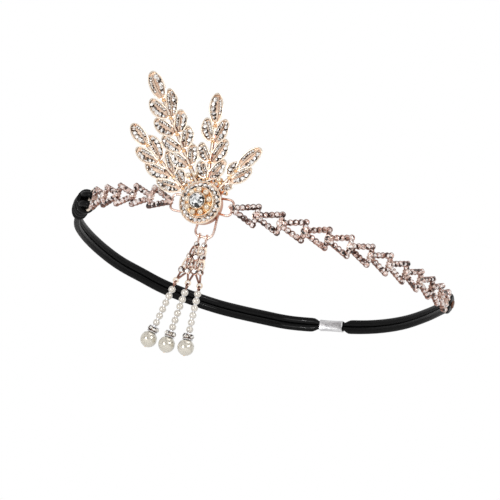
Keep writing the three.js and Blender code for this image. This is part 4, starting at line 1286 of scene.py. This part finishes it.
@dataclass
class Spray:
    """One spray of leaves on a stem, lying against the medallion's collar.

    Each leaf has the share of the reach where it starts, its side, its length as a share of the
    reach, its lean in degrees and a factor on its width.
    """

    name: str
    reach: float
    angle: float
    offset: float
    stem: float
    lift: float
    end_stones: int
    leaves: Sequence[Tuple[float, int, float, float, float]]
    stem_radius: float = 0.47
    stem_start: float = 7.0
    stem_rise: float = 0.95
    node_ball: float = 0.85
    bud_ball: float = 0.5

    def build(self) -> None:
        """Builds the spray as one piece."""
        seed = len(self.name) * 7 + len(self.leaves)
        mould = Mould(f"spray_{self.name}", MEDALLION, seed)
        root = polar(1, self.angle + 90) * self.offset
        at = shift(root.x, root.y, 1.0 + self.lift) @ Matrix.Rotation(
            math.radians(self.angle), 4, "Z")
        level_z = 0.3 + self.stem_radius
        span = self.stem * self.reach - self.stem_start
        stem = [at @ vec(self.stem_start + span * i / 8, 0, level_z + self.stem_rise)
                for i in range(9)]
        taper = [1.2 - 0.04 * i for i in range(9)]
        mould.tube(stem, self.stem_radius, PALE, 10, up=UP, widths=taper)
        # Painted shadow: a flat dark strip just under the stem, showing as dark edges along it.
        under = [point - UP * 0.35 for point in stem]
        mould.tube(under, self.stem_radius * 1.75, SHADE_ROSE, up=UP, flat=0.4, widths=taper)
        for foot, side, length, lean, width in self.leaves:
            place = shift(foot * self.reach, side * self.stem_radius / 2, 0.0 if side else 0.15)
            leaf = Leaf(length * self.reach, width, side, side if side else self.end_stones)
            leaf.build(mould, at @ place @ Matrix.Rotation(math.radians(lean), 4, "Z"))
        for x in sorted({round(row[0] * self.reach) for row in self.leaves if row[1] >= 0}):
            node, bud = vec(x - 0.3, 0, level_z + 1.0), vec(x + 1.0, 0.1, level_z + 1.2)
            mould.ball(self.node_ball, at @ node, GOLD, 12, 8, 0.8)
            mould.ball(self.bud_ball, at @ bud, GOLD, 10, 6, 0.8)
        mould.cast("rose_gold", "brooch_frame")


SPRAYS = (
    Spray("left", 49.6, 145.8, 1.9, 0.77, 0.25, 1, (
        (0.742, 0, 0.258, -3, 0.95), (0.552, -1, 0.27, -11, 0.95), (0.55, 1, 0.27, 19, 0.9),
        (0.375, -1, 0.24, -25, 0.9), (0.369, 1, 0.29, 22, 0.95), (0.24, -1, 0.173, -19, 0.85),
        (0.226, 1, 0.26, 29, 0.85))),
    Spray("tall", 64.6, 128.7, -1.3, 0.79, 0.6, -1, (
        (0.777, 0, 0.223, 2, 1.05), (0.628, -1, 0.213, -16, 0.85), (0.641, 1, 0.2, 24, 0.95),
        (0.509, -1, 0.172, -28, 0.95), (0.517, 1, 0.195, 32, 0.95), (0.395, -1, 0.163, -31, 0.95),
        (0.387, 1, 0.19, 31, 0.9), (0.268, -1, 0.155, -26, 0.85), (0.266, 1, 0.185, 28, 0.93))),
    Spray("middle", 48.2, 98.1, -0.8, 0.73, 0.8, 1, (
        (0.712, 0, 0.288, 5, 1.0), (0.541, -1, 0.243, -22, 0.95), (0.55, 1, 0.238, 22, 0.85),
        (0.365, -1, 0.255, -29, 1.0), (0.373, 1, 0.203, 32, 0.85), (0.222, -1, 0.228, -37, 0.95),
        (0.228, 1, 0.178, 31, 0.85))),
    Spray("right", 34.1, 60.0, -0.9, 0.62, 0.3, -1, (
        (0.592, 0, 0.408, -5, 1.05), (0.422, -1, 0.343, -21, 0.95), (0.455, 1, 0.232, 14, 0.85),
        (0.3, -1, 0.16, -36, 0.6))),
)


@dataclass
class Chains:
    """The V-shaped links on each side of the medallion and the fittings at their ends."""

    medallion: Medallion
    left_links: int = 5
    right_links: int = 12
    pitch: float = 10.4
    reach: float = 11.6
    spread: float = 4.4
    arm_start: float = 1.0
    arm_start_spread: float = 0.6
    arm_stones: int = 5
    arm_width: float = 2.0
    arm_height: float = 1.0
    arm_trim: float = 0.3
    mouth_spread: float = 2.1
    barrel_radius: float = 0.75
    pin_wire: float = 0.4
    pin_half: float = 3.4
    post_angle: float = 77.42
    post_reach: float = 10.2
    post_floor: float = 1.6
    post_back: float = 2.3
    ring_angle: float = -70.68
    ring_reach: float = 7.56
    ring_half: float = 4.6
    ring_wire: float = 0.6

    @property
    def left_end(self) -> float:
        """The angle of the last left pin."""
        return self.medallion.left_start - self.left_links * BAND.chord(self.pitch)

    @property
    def right_end(self) -> float:
        """The angle of the last right pin."""
        return self.medallion.right_start + self.right_links * BAND.chord(self.pitch)

    def link(self, side: str, index: int, start: float, end: float, seed: int) -> None:
        """Builds one link.

        Args:
            side: the side of the medallion that it is on.
            index: its place in the chain.
            start: the angle of its own eye.
            end: the angle of its pin.
            seed: the seed of its stones.
        """
        mould = Mould(f"{side}_chevron_{index + 1:02d}", BAND.frame(start, end), seed)
        for turn in (-1, 1):
            a = vec(self.arm_start, turn * self.arm_start_spread)
            b = vec(self.reach, turn * self.spread)
            way = (b - a).normalized()
            middle = shift(*(a + b) / 2) @ Matrix.Rotation(math.atan2(way.y, way.x), 4, "Z")
            size = ((b - a).length - self.arm_trim, self.arm_width, self.arm_height)
            # The dark block under the arm's stones is painted shade between them.
            mould.block(size, middle, DARK_BROWN, 0.3)
            for i in range(self.arm_stones):
                share = (i + 0.62) / self.arm_stones
                mould.cup(ARM_CUP, shift(*(a.lerp(b, share) - way * 0.35)))
        for y in (-self.mouth_spread, self.mouth_spread):
            mould.cup(MOUTH_CUP, shift(self.pitch + 0.3, y, 0.0))
        whole = Matrix.Identity(4)
        mould.cup(EYE_CUP, whole)
        mould.prongs(0.28, 1.5, 1.95, whole, PALE)
        for turn in (-1, 1):
            barrel = Matrix.Scale(turn, 4, (0, 1, 0)) @ Matrix.Rotation(math.pi / 2, 4, "X")
            mould.drum(self.barrel_radius, self.barrel_radius, 0.35, 1.0, barrel, BANDMETAL)
        pin = [vec(self.pitch, self.pin_half * (i / 2 - 1)) for i in range(5)]
        mould.tube(pin, self.pin_wire, BANDMETAL, up=UP)
        mould.cast("rose_gold", f"{side}_link_{index + 1:02d}")

    def build(self) -> None:
        """Builds both chains and their ends."""
        step = BAND.chord(self.pitch)
        sides = (("left", self.left_links, self.medallion.left_start, -step, 40),
                 ("right", self.right_links, self.medallion.right_start, step, 80))
        for side, count, first, turn, seed in sides:
            for i in range(count):
                start = first + i * turn
                self.link(side, i, start, start + turn, seed + i)
        self.right_bar()
        self.left_ring()

    def fitting(self, name: str, start: float, end: float, seed: int) -> Mould:
        """Starts an end fitting, with the barrel that goes on the last pin and its neck.

        Args:
            name: the fitting's name.
            start: the angle of the last pin.
            end: the angle that it points to.
            seed: the seed of its stones.

        Returns:
            The fitting.
        """
        mould = Mould(name, BAND.frame(start, end), seed)
        barrel = Matrix.Rotation(math.pi / 2, 4, "X")
        mould.drum(0.9, 0.9, -1.0, 1.0, barrel, BANDMETAL, 14)
        mould.block((1.8, 2.0, 1.5), shift(1.9, 0.0, 0.15), BANDMETAL, 0.15)
        return mould

    def right_bar(self) -> None:
        """Builds the stone-set end plate with the post that the elastic goes round."""
        mould = self.fitting("post_plate", self.right_end, self.post_angle, 131)
        mould.block((3.2, 9.6, 1.5), shift(3.6, 0.0, 0.15), BANDMETAL, 0.3)
        for i in range(4):
            mould.cup(PLATE_CUP, shift(3.6, (i - 1.5) * 2.4, 0.0))
        floor, back = self.post_floor, self.post_back
        mould.block((1.6, 2.6, 1.8), shift(2.8, 0.0, -1.4), BANDMETAL, 0.2)
        mould.block((8.2, 2.6, 0.7), shift(6.1, 0.0, -(floor + back) / 2), BANDMETAL, 0.15)
        post = shift(self.post_reach, 0.0, 0.0)
        mould.drum(0.9, 0.9, -back, back, post, BANDMETAL, 20)
        mould.drum(2.1, 2.1, -back, -floor, post, BANDMETAL, 24, 0.15)
        mould.drum(1.9, 1.7, floor, back, post, DARK_BROWN, 24, 0.2)
        mould.cast("rose_gold", "right_end_bar")

    def left_ring(self) -> None:
        """Builds the end ring that the elastic is hitched to."""
        mould = self.fitting("hitch_ring", self.left_end, self.ring_angle, 133)
        mould.block((1.5, 9.2, 1.5), shift(2.75, 0.0, 0.15), BANDMETAL, 0.25)
        points = hoop(2.7, self.ring_reach, -self.ring_half, self.ring_half, 1.1, tuck=0.6)
        mould.tube(spline(points, 33), self.ring_wire, PALE, 12, up=UP)
        mould.cast("rose_gold", "left_end_ring")


@dataclass
class Elastic:
    """The doubled black elastic: two strands, the bight round the post, the hitch and the crimp."""

    chains: Chains
    height: float = 3.5
    thickness: float = 2.6
    gap: float = -0.1
    drop: float = 22.6
    bight: float = 2.95
    knot_length: float = 7.5
    knot_radius: float = 1.43
    knot_spread: float = 2.1
    crimp_angle: float = 152.2
    crimp_length: float = 12.0
    taper: float = 4.0
    pinch: float = 0.56
    wall: float = 0.45
    square: float = 0.45
    samples: int = 260
    bight_steps: int = 12
    band_half: float = 4.3
    band_wire: float = 1.3125
    wrap_half: Tuple[float, float] = (3.9, 2.3)
    route: Sequence[Tuple[float, float]] = (
        (80, 0.14), (88, 0.08), (98, 0.06), (111.7, 0.21), (123.6, 0.41), (133.6, 0.56),
        (142.5, 0.67), (152.7, 0.77), (166.3, 0.91), (175, 0.95), (189.6, 1), (200, 0.99),
        (210.3, 0.955), (219.2, 0.885), (228.7, 0.823), (237.4, 0.739), (251, 0.606),
        (267.4, 0.487), (276, 0.36),
    )
    turns: Sequence[Tuple[float, float, float]] = (
        (2.2, 0.9, 1.65), (5.0, 0.5, 1.75), (7.9, -0.7, 1.6))

    @property
    def hitch(self) -> Matrix:
        """The frame of the end ring."""
        return BAND.frame(self.chains.left_end, self.chains.ring_angle)

    @staticmethod
    def angle_at(point: Vector) -> float:
        """The angle of a point round the head, from 0 to 360."""
        return math.degrees(math.atan2(point.x, -point.y)) % 360

    def middle(self, samples: int) -> List[Vector]:
        """The line between the two strands, from the post to the hitch.

        Args:
            samples: how many points it has.

        Returns:
            The points.
        """
        knot = self.hitch @ vec(self.chains.ring_reach + self.knot_length, 0)
        post = self.chains.post_angle
        first = post + BAND.chord(self.height)
        last = self.angle_at(knot) - BAND.chord(3.0)
        route = [BAND.point(a, -self.drop * d) for a, d in self.route if first < a < last]
        return spline([BAND.point(post), *route, knot], samples)

    @staticmethod
    def ease(share: float) -> float:
        """A smooth step from 0 to 1."""
        x = min(1.0, max(0.0, share))
        return x * x * (3 - 2 * x)

    def strand(self, length: float, crimp: float) -> Tuple[float, float]:
        """A strand's height and its lift from the middle line.

        Args:
            length: the distance from the post along the line.
            crimp: the crimp's distance from the post.

        Returns:
            The height and the lift.
        """
        beyond = abs(length - crimp) - self.crimp_length / 2 - CLEARANCE
        pinched = 1 - self.ease(beyond / self.taper)
        height = self.height * (1 - (1 - self.pinch) * pinched)
        half = (height + self.gap) / 2
        return height, half + (self.bight - half) * (1 - self.ease(length / (3 * self.height)))

    def build(self) -> None:
        """Draws both strands with their bight, the hitch and the crimp round them."""
        line = self.middle(self.samples)
        step = lengths_along(line)[-1] / (len(line) - 1)
        near = min(range(len(line)), key=lambda i: abs(self.angle_at(line[i]) - self.crimp_angle))
        shapes = [self.strand(i * step, near * step) for i in range(len(line))]
        lower = [(p - UP * half, high) for p, (high, half) in zip(line, shapes)]
        upper = [(p + UP * half, high) for p, (high, half) in zip(line, shapes)]
        back, half = (line[0] - line[1]).normalized(), shapes[0][1]
        bight = [(line[0] - UP * math.cos(turn) * half + back * math.sin(turn) * half, self.height)
                 for turn in (i / self.bight_steps * math.pi for i in range(1, self.bight_steps))]
        run = [*reversed(lower), *bight, *upper]
        mould = Mould("elastic_strands", seed=141)
        mould.tube([p for p, _ in run], self.height / 2, ELASTIC, 16,
                   sections=[(level(p), high / 2, self.thickness / 2) for p, high in run])
        self.knot(mould)
        self.wraps(mould, line[-60:])
        mould.cast("elastic_cord", "elastic")
        reach = self.crimp_length / 2 / step
        self.sleeve(line[round(near - reach)], line[round(near + reach)])

    def knot(self, mould: Mould) -> None:
        """Draws the hitch: a loop over each half of the ring's bar and the band round them.

        Args:
            mould: the elastic.
        """
        reach, length, thick = self.chains.ring_reach, self.knot_length, self.knot_radius
        over = self.chains.ring_wire + CLEARANCE + thick
        end, bend = reach + length + 0.8, reach + length * 0.5
        across = self.hitch.to_3x3()
        for side in (-1, 1):
            y, near = side * self.knot_spread, side * (self.height + self.gap) / 2
            points = [vec(end, near, thick * 0.5), vec(bend, y, over), vec(reach, y, over),
                      vec(reach - over, y), vec(reach, y, -over), vec(bend, y, -over),
                      vec(end, near, thick * -0.5)]
            loop = [self.hitch @ p for p in spline(points, 40)]
            mould.tube(loop, thick, ELASTIC, 12, up=across @ vec(0, 1))
        band = oval(vec(reach + length * 0.55, 0), vec(0, self.band_half),
                    vec(0, 0, over + thick * 0.75), 28)
        mould.tube([self.hitch @ p for p in band], self.band_wire, ELASTIC, 12, closed=True,
                   up=across @ vec(1, 0))

    def wraps(self, mould: Mould, line: Sequence[Vector]) -> None:
        """Winds the elastic's ends round both strands under the hitch.

        Args:
            mould: the elastic.
            line: the strands' middle line up to the hitch.
        """
        step = (line[-1] - line[-2]).length
        for before, tilt, stout in self.turns:
            i = len(line) - 1 - round(before / step)
            place, way = line[i], (line[i] - line[i - 1]).normalized()
            out = level(place)
            up = way.cross(out).normalized()
            high, deep = self.wrap_half
            ring = oval(place, up * high + way * tilt, out * deep, 24)
            mould.tube(ring, stout, ELASTIC, 12, closed=True, up=way)

    def sleeve(self, start: Vector, end: Vector) -> None:
        """Bends the silver sleeve round both strands.

        Args:
            start: the line's point at one end of the sleeve.
            end: its point at the other end.
        """
        z = (end - start).normalized()
        x = level(start + end).cross(z).normalized()
        place = basis(x, z.cross(x).normalized(), z, (start + end) / 2)
        mould = Mould("silver_crimp", place, seed=151)
        height = self.height * self.pinch
        up = height + self.gap / 2 + CLEARANCE
        out = self.thickness / 2 + CLEARANCE
        reach, wall = self.crimp_length / 2, self.wall
        rows = ((-reach, 0.1), (-reach + 0.3, wall), (-reach + 1.2, wall * 0.85), (0, wall * 0.7),
                (reach - 1.2, wall * 0.85), (reach - 0.3, wall), (reach, 0.1), (reach - 0.2, 0),
                (-reach + 0.2, 0))
        ring, first = mould.circle(32, Matrix.Identity(4))
        rings, edges = [ring], first
        for _ in rows[1:]:
            ring, edges = mould.draw_out(ring, edges)
            rings.append(ring)
        bmesh.ops.bridge_loops(mould.bm, edges=[*first, *edges])
        for (along_z, grow), row in zip(rows, rings):
            for i, vert in enumerate(row):
                spot = polar(1.0, 360 * i / len(row))
                vert.co = vec(math.copysign(abs(spot.x) ** self.square, spot.x) * (up + grow),
                              math.copysign(abs(spot.y) ** self.square, spot.y) * (out + grow),
                              along_z)
        mould.dress([v for row in rings for v in row], SILVER)
        mould.cast("silver", "crimp")


@dataclass
class Studio:
    """White surroundings, soft lamps and the camera at the photograph's angle."""

    roll: float = 16.0
    rise: float = -7.5
    distance: float = 1.1
    focal: float = 175.43
    shift: Tuple[float, float] = (-0.035, -0.002)
    floor_height: float = -0.32
    lamps: Sequence[Tuple[str, Tuple[float, float, float], float, float]] = (
        ("left_soft", (-0.725, -1.0, -0.12), 0.55, 3.0),
        ("right_soft", (0.655, -1.02, 0.52), 0.55, 3.0),
        ("left_core", (-0.7, -0.966, -0.116), 0.05, 0.7),
        ("right_core", (0.63, -0.981, 0.5), 0.05, 0.7),
        ("top_soft", (0.1, -0.2, 1.2), 0.9, 3.0),
    )

    def camera(self) -> None:
        """Sets the camera."""
        tilt, roll = math.radians(self.rise), math.radians(self.roll)
        ahead = vec(0, math.cos(tilt), -math.sin(tilt))
        up = vec(0, math.sin(tilt), math.cos(tilt))
        right = vec(math.cos(roll), 0) + up * math.sin(roll)
        data = bpy.data.cameras.new("camera")
        data.lens, data.sensor_width = self.focal, 36.0
        data.shift_x, data.shift_y = self.shift
        data.clip_start, data.clip_end = 0.05, 20.0
        lens = bpy.data.objects.new("camera", data)
        lens.matrix_world = basis(right, right.cross(ahead), -ahead, -ahead * self.distance)
        bpy.context.scene.collection.objects.link(lens)
        bpy.context.scene.camera = lens

    def surroundings(self) -> None:
        """Sets the light of the room: white behind the object and softer grey in front of it."""
        world = bpy.data.worlds.new("white_room")
        world.use_nodes = True
        world.node_tree.nodes.clear()
        nodes = Nodes(world.node_tree)
        screens = nodes.ramp(nodes.noise(2.6, 1.0, 0.4, "Generated"), (
            (0.36, (0.05, 0.04, 0.035)), (0.46, (0.42, 0.40, 0.40)), (0.56, (0.80, 0.79, 0.78))))
        place = nodes.add("ShaderNodeTexCoord").outputs["Generated"]
        split = nodes.add("ShaderNodeSeparateXYZ", {"Vector": place})
        depth = nodes.add("ShaderNodeMapRange", {
            "Value": split.outputs["Y"], "From Min": -0.2, "From Max": 0.6}).outputs["Result"]
        room = nodes.add("ShaderNodeMix", {
            "Factor": depth, "A": screens, "B": (0.85, 0.85, 0.85, 1.0)}, data_type="RGBA")
        seen = nodes.add("ShaderNodeLightPath").outputs["Is Camera Ray"]
        mix = nodes.add("ShaderNodeMix", {
            "Factor": seen, "A": room.outputs["Result"], "B": (1.0, 1.0, 1.0, 1.0)},
            data_type="RGBA")
        shine = nodes.add("ShaderNodeBackground", {"Color": mix.outputs["Result"]})
        nodes.add("ShaderNodeOutputWorld", {"Surface": shine.outputs["Background"]})
        bpy.context.scene.world = world

    def lamp(self, name: str, place: Vector, size: float, power: float) -> None:
        """Hangs one soft lamp that faces the object.

        Args:
            name: its name.
            place: where it hangs, in metres.
            size: its width.
            power: its power in watts.
        """
        data = bpy.data.lights.new(name, "AREA")
        data.shape, data.size, data.energy = "DISK", size, power
        made = bpy.data.objects.new(name, data)
        made.location = place
        made.rotation_euler = (-place).to_track_quat("-Z", "Y").to_euler()
        bpy.context.scene.collection.objects.link(made)

    def floor(self) -> None:
        """Lays a plain pale floor under the object."""
        bm = bmesh.new()
        bmesh.ops.create_grid(bm, x_segments=4, y_segments=4, size=4.0,
                              matrix=shift(0.0, 0.0, self.floor_height))
        mesh = bpy.data.meshes.new("floor")
        bm.to_mesh(mesh)
        bm.free()
        mesh.materials.append(FLOOR.material())
        ground = bpy.data.objects.new("floor", mesh)
        bpy.context.scene.collection.objects.link(ground)

    def build(self) -> None:
        """Sets the whole studio."""
        bpy.context.scene.view_settings.view_transform = "Standard"
        self.camera()
        self.surroundings()
        self.floor()
        for name, place, size, power in self.lamps:
            self.lamp(name, Vector(place), size, power)


@dataclass
class Tassel:
    """The net under the bottom lug with its three strings, rondelles and drop pearls.

    A cup has its place across and down as shares of the net's size, and its radius.
    """

    medallion: Medallion
    width: float = 11.4
    drop: float = 20.4
    drift: float = -0.6
    wire: float = 0.34
    loop: float = 1.0
    hook: float = 1.15
    string_wire: float = 0.3
    beads: int = 6
    bead_radius: float = 1.5
    bead_gap: float = 0.05
    rondelle_radius: float = 2.25
    rondelle_height: float = 2.0
    pearl_radius: float = 3.5
    peg_depth: float = 2.2
    cups: Sequence[Tuple[str, float, float, float]] = (
        ("a", -0.13, 0.18, 0.95), ("b", 0.17, 0.17, 0.95), ("c", -0.26, 0.45, 1.05),
        ("d", 0.0, 0.45, 1.25), ("e", 0.25, 0.42, 1.05), ("f", -0.4, 0.76, 1.15),
        ("g", -0.15, 0.76, 1.15), ("h", 0.12, 0.74, 1.25), ("i", 0.35, 0.73, 1.05))
    oval_half: float = 0.95
    cup_growth: float = 1.28
    wires: Sequence[str] = ("ac", "ad", "bd", "be", "cf", "cg", "dg", "dh", "eh", "ei")
    painted_shade_wires: Sequence[str] = ("ac", "cg", "dh")
    eyes: Sequence[Tuple[float, str]] = ((-0.5, "fg"), (-0.01, "gh"), (0.47, "hi"))
    strings: Sequence[Tuple[float, float]] = ((-9.8, 1.5), (-3.3, 1.5), (3.8, 0.8))

    def spot(self, across: float, down: float) -> Vector:
        """A place in the net from its shares across and down."""
        x, y, z = self.medallion.bail
        return vec(x + across * self.width + down * self.drift, y - down * self.drop, z)

    @staticmethod
    def ring(mould: Mould, centre: Vector, radius: float, wire: float, finish: Finish,
             axis: Vector) -> None:
        """Adds a wire ring.

        Args:
            mould: the piece that it joins.
            centre: its middle.
            radius: its radius.
            wire: the wire's radius.
            finish: its finish.
            axis: its axis.
        """
        turn = along(axis, centre)
        points = [turn @ p for p in oval(vec(0, 0), vec(radius, 0), vec(0, radius), 18)]
        mould.tube(points, wire, finish, 6, closed=True, up=axis)

    def net(self) -> None:
        """Links the net."""
        mould = Mould("tassel_chain", MEDALLION, seed=21)
        centre: Dict[str, Vector] = {}
        for name, across, down, radius in self.cups:
            centre[name] = self.spot(across, down)
            at, wide = shift(*centre[name]), radius * self.cup_growth
            mould.cup(replace(NET_CUP, foot=wide * NET_CUP.foot, mouth=wide,
                              stone=wide * NET_CUP.stone), at)
            mould.prongs(0.26, wide * 0.97, 0.75, at, PALE)
        for pair in self.wires:
            a, b = centre[pair[0]], centre[pair[1]]
            middle, way = (a + b) / 2, (b - a).normalized()
            side = way.cross(UP)
            points = oval(middle, way * ((b - a).length / 2), side * self.oval_half, 16)
            # Some wires take the dark rose as painted shade; the others are pale.
            finish = SHADE_ROSE if pair in self.painted_shade_wires else PALE
            mould.tube(points, self.wire * 1.25, finish, 6, closed=True, up=UP)
            seat = basis(side, way, side.cross(way), middle + UP * 0.1)
            mould.cup(OVAL_CUP, seat @ Matrix.Diagonal((0.55, 1.15, 1, 1)))
        for across, cups in self.eyes:
            eye = self.spot(across, 1.0)
            self.ring(mould, eye, self.loop, self.wire * 1.2, PALE, UP)
            for name in cups:
                foot = eye + (centre[name] - eye).normalized() * self.loop
                # The dark tubes from each eye are painted shade.
                mould.tube([foot, (foot + centre[name]) / 2, centre[name]], self.wire * 1.3,
                           SHADE_ROSE, 6, up=UP)
        lift = self.medallion.bail[1] - self.hook + self.medallion.wire + self.wire + CLEARANCE
        for name in "ab":
            cup = centre[name]
            hook = vec(cup.x, lift, self.medallion.bail[2])
            self.ring(mould, hook, self.hook, self.wire * 1.2, ROSE, vec(1, 0))
            mould.tube([hook - vec(0, self.hook), cup], self.wire * 1.3, BANDMETAL, 6, up=UP)
        mould.cast("rose_gold", "tassel_net")

    def levels(self, index: int) -> Tuple[Matrix, float, float, float]:
        """Heights along one string.

        Args:
            index: which string.

        Returns:
            Its frame, and the local heights of its top bead, rondelle and drop pearl.
        """
        lean, leader = self.strings[index]
        eye = self.spot(self.eyes[index][0], 1.0)
        overlap = 2 * self.loop - self.wire - self.string_wire - CLEARANCE / 2
        z = polar(1, 90 + lean)
        at = MEDALLION @ basis(UP.cross(z).normalized(), UP, z, eye - vec(0, overlap))
        top = -leader - self.bead_radius
        last = top - (self.beads - 1) * (2 * self.bead_radius + self.bead_gap)
        rondelle = last - self.bead_radius - CLEARANCE - self.rondelle_height
        return at, top, rondelle, rondelle - CLEARANCE - self.pearl_radius

    def string(self, index: int) -> None:
        """Strings one row of beads with its rondelle and drop pearl.

        Args:
            index: which string.
        """
        at, top, rondelle, pearl = self.levels(index)
        whole, wire = Matrix.Identity(4), self.string_wire * 1.2
        mould = Mould(f"bead_string_{index + 1}", at, seed=31 + index)
        for i in range(self.beads):
            z = top - i * (2 * self.bead_radius + self.bead_gap)
            foot = z - self.bead_radius
            mould.ball(self.bead_radius, vec(0, 0, z), SMALL_PEARL, 20, 14)
            mould.drum(0.75, 0.75, foot - 0.3, foot + 0.25, whole, SILVER, 10)
        peg = pearl + self.pearl_radius - self.peg_depth
        core = [vec(0, 0, peg + (-self.loop - peg) * i / 6) for i in range(7)]
        # The dark core wire shows between the beads as painted shade.
        mould.tube(core, wire, SHADE_ROSE, up=vec(0, 1))
        self.ring(mould, vec(0, 0), self.loop, wire, SHADE_ROSE, vec(1, 0))
        mould.cast("pearl", f"pearl_string_{index + 1}")
        self.rondelle(index, at @ shift(0.0, 0.0, rondelle))
        place = at @ shift(0.0, 0.0, pearl)
        mould = Mould(f"large_pearl_{index + 1}", place, seed=71 + index)
        mould.ball(self.pearl_radius, vec(0, 0), PEARL, 40, 26)
        mould.ball(0.42, vec(0, 0, -self.pearl_radius + 0.05), GOLD, 10, 6, 0.5)
        mould.cast("pearl", f"drop_pearl_{index + 1}")

    def rondelle(self, index: int, place: Matrix) -> None:
        """Turns one rondelle and sets its stones.

        Args:
            index: which string it is on.
            place: its frame.
        """
        mould = Mould(f"stone_cap_{index + 1}", place, seed=51 + index)
        r, h, bore = self.rondelle_radius, self.rondelle_height, self.string_wire + CLEARANCE
        profile = ((bore, 0), (r * 0.8, 0), (r * 0.84, -0.5), (r * 0.95, -0.6), (r * 1.02, -0.4),
                   (r * 0.96, -0.15), (r * 0.86, -0.05), (r * 0.86, h - 0.5), (r * 0.92, h - 0.42),
                   (r * 0.97, h - 0.2), (r * 0.9, h), (bore, h), (bore, 0))
        # The dark brown band behind the stones is painted shade between them.
        mould.lathe(profile, SILVER, 28, ((1.8, 2.05, -0.2, 1.6, DARK_BROWN),))
        for k in range(9):
            seat = along(polar(1, k * 40), polar(r * 0.84, k * 40, h * 0.42))
            mould.stone(0.8, 0.55, seat, Sparkle.SMOKY, table=0.6)
            mould.ball(0.2, polar(r * 0.96, k * 40 + 20, h * 0.42), PALE)
        mould.cast("rondelle", f"rondelle_{index + 1}")

    def build(self) -> None:
        """Builds the net and its strings."""
        self.net()
        for index in range(len(self.strings)):
            self.string(index)


def main() -> None:
    """Builds the studio and every sub-assembly in order."""
    logging.basicConfig(level=logging.INFO, format="%(name)s: %(message)s")
    Studio().build()
    medallion = Medallion()
    medallion.build()
    for spray in SPRAYS:
        spray.build()
    chains = Chains(medallion)
    chains.build()
    Elastic(chains).build()
    Tassel(medallion).build()


if __name__ == "__main__":
    main()
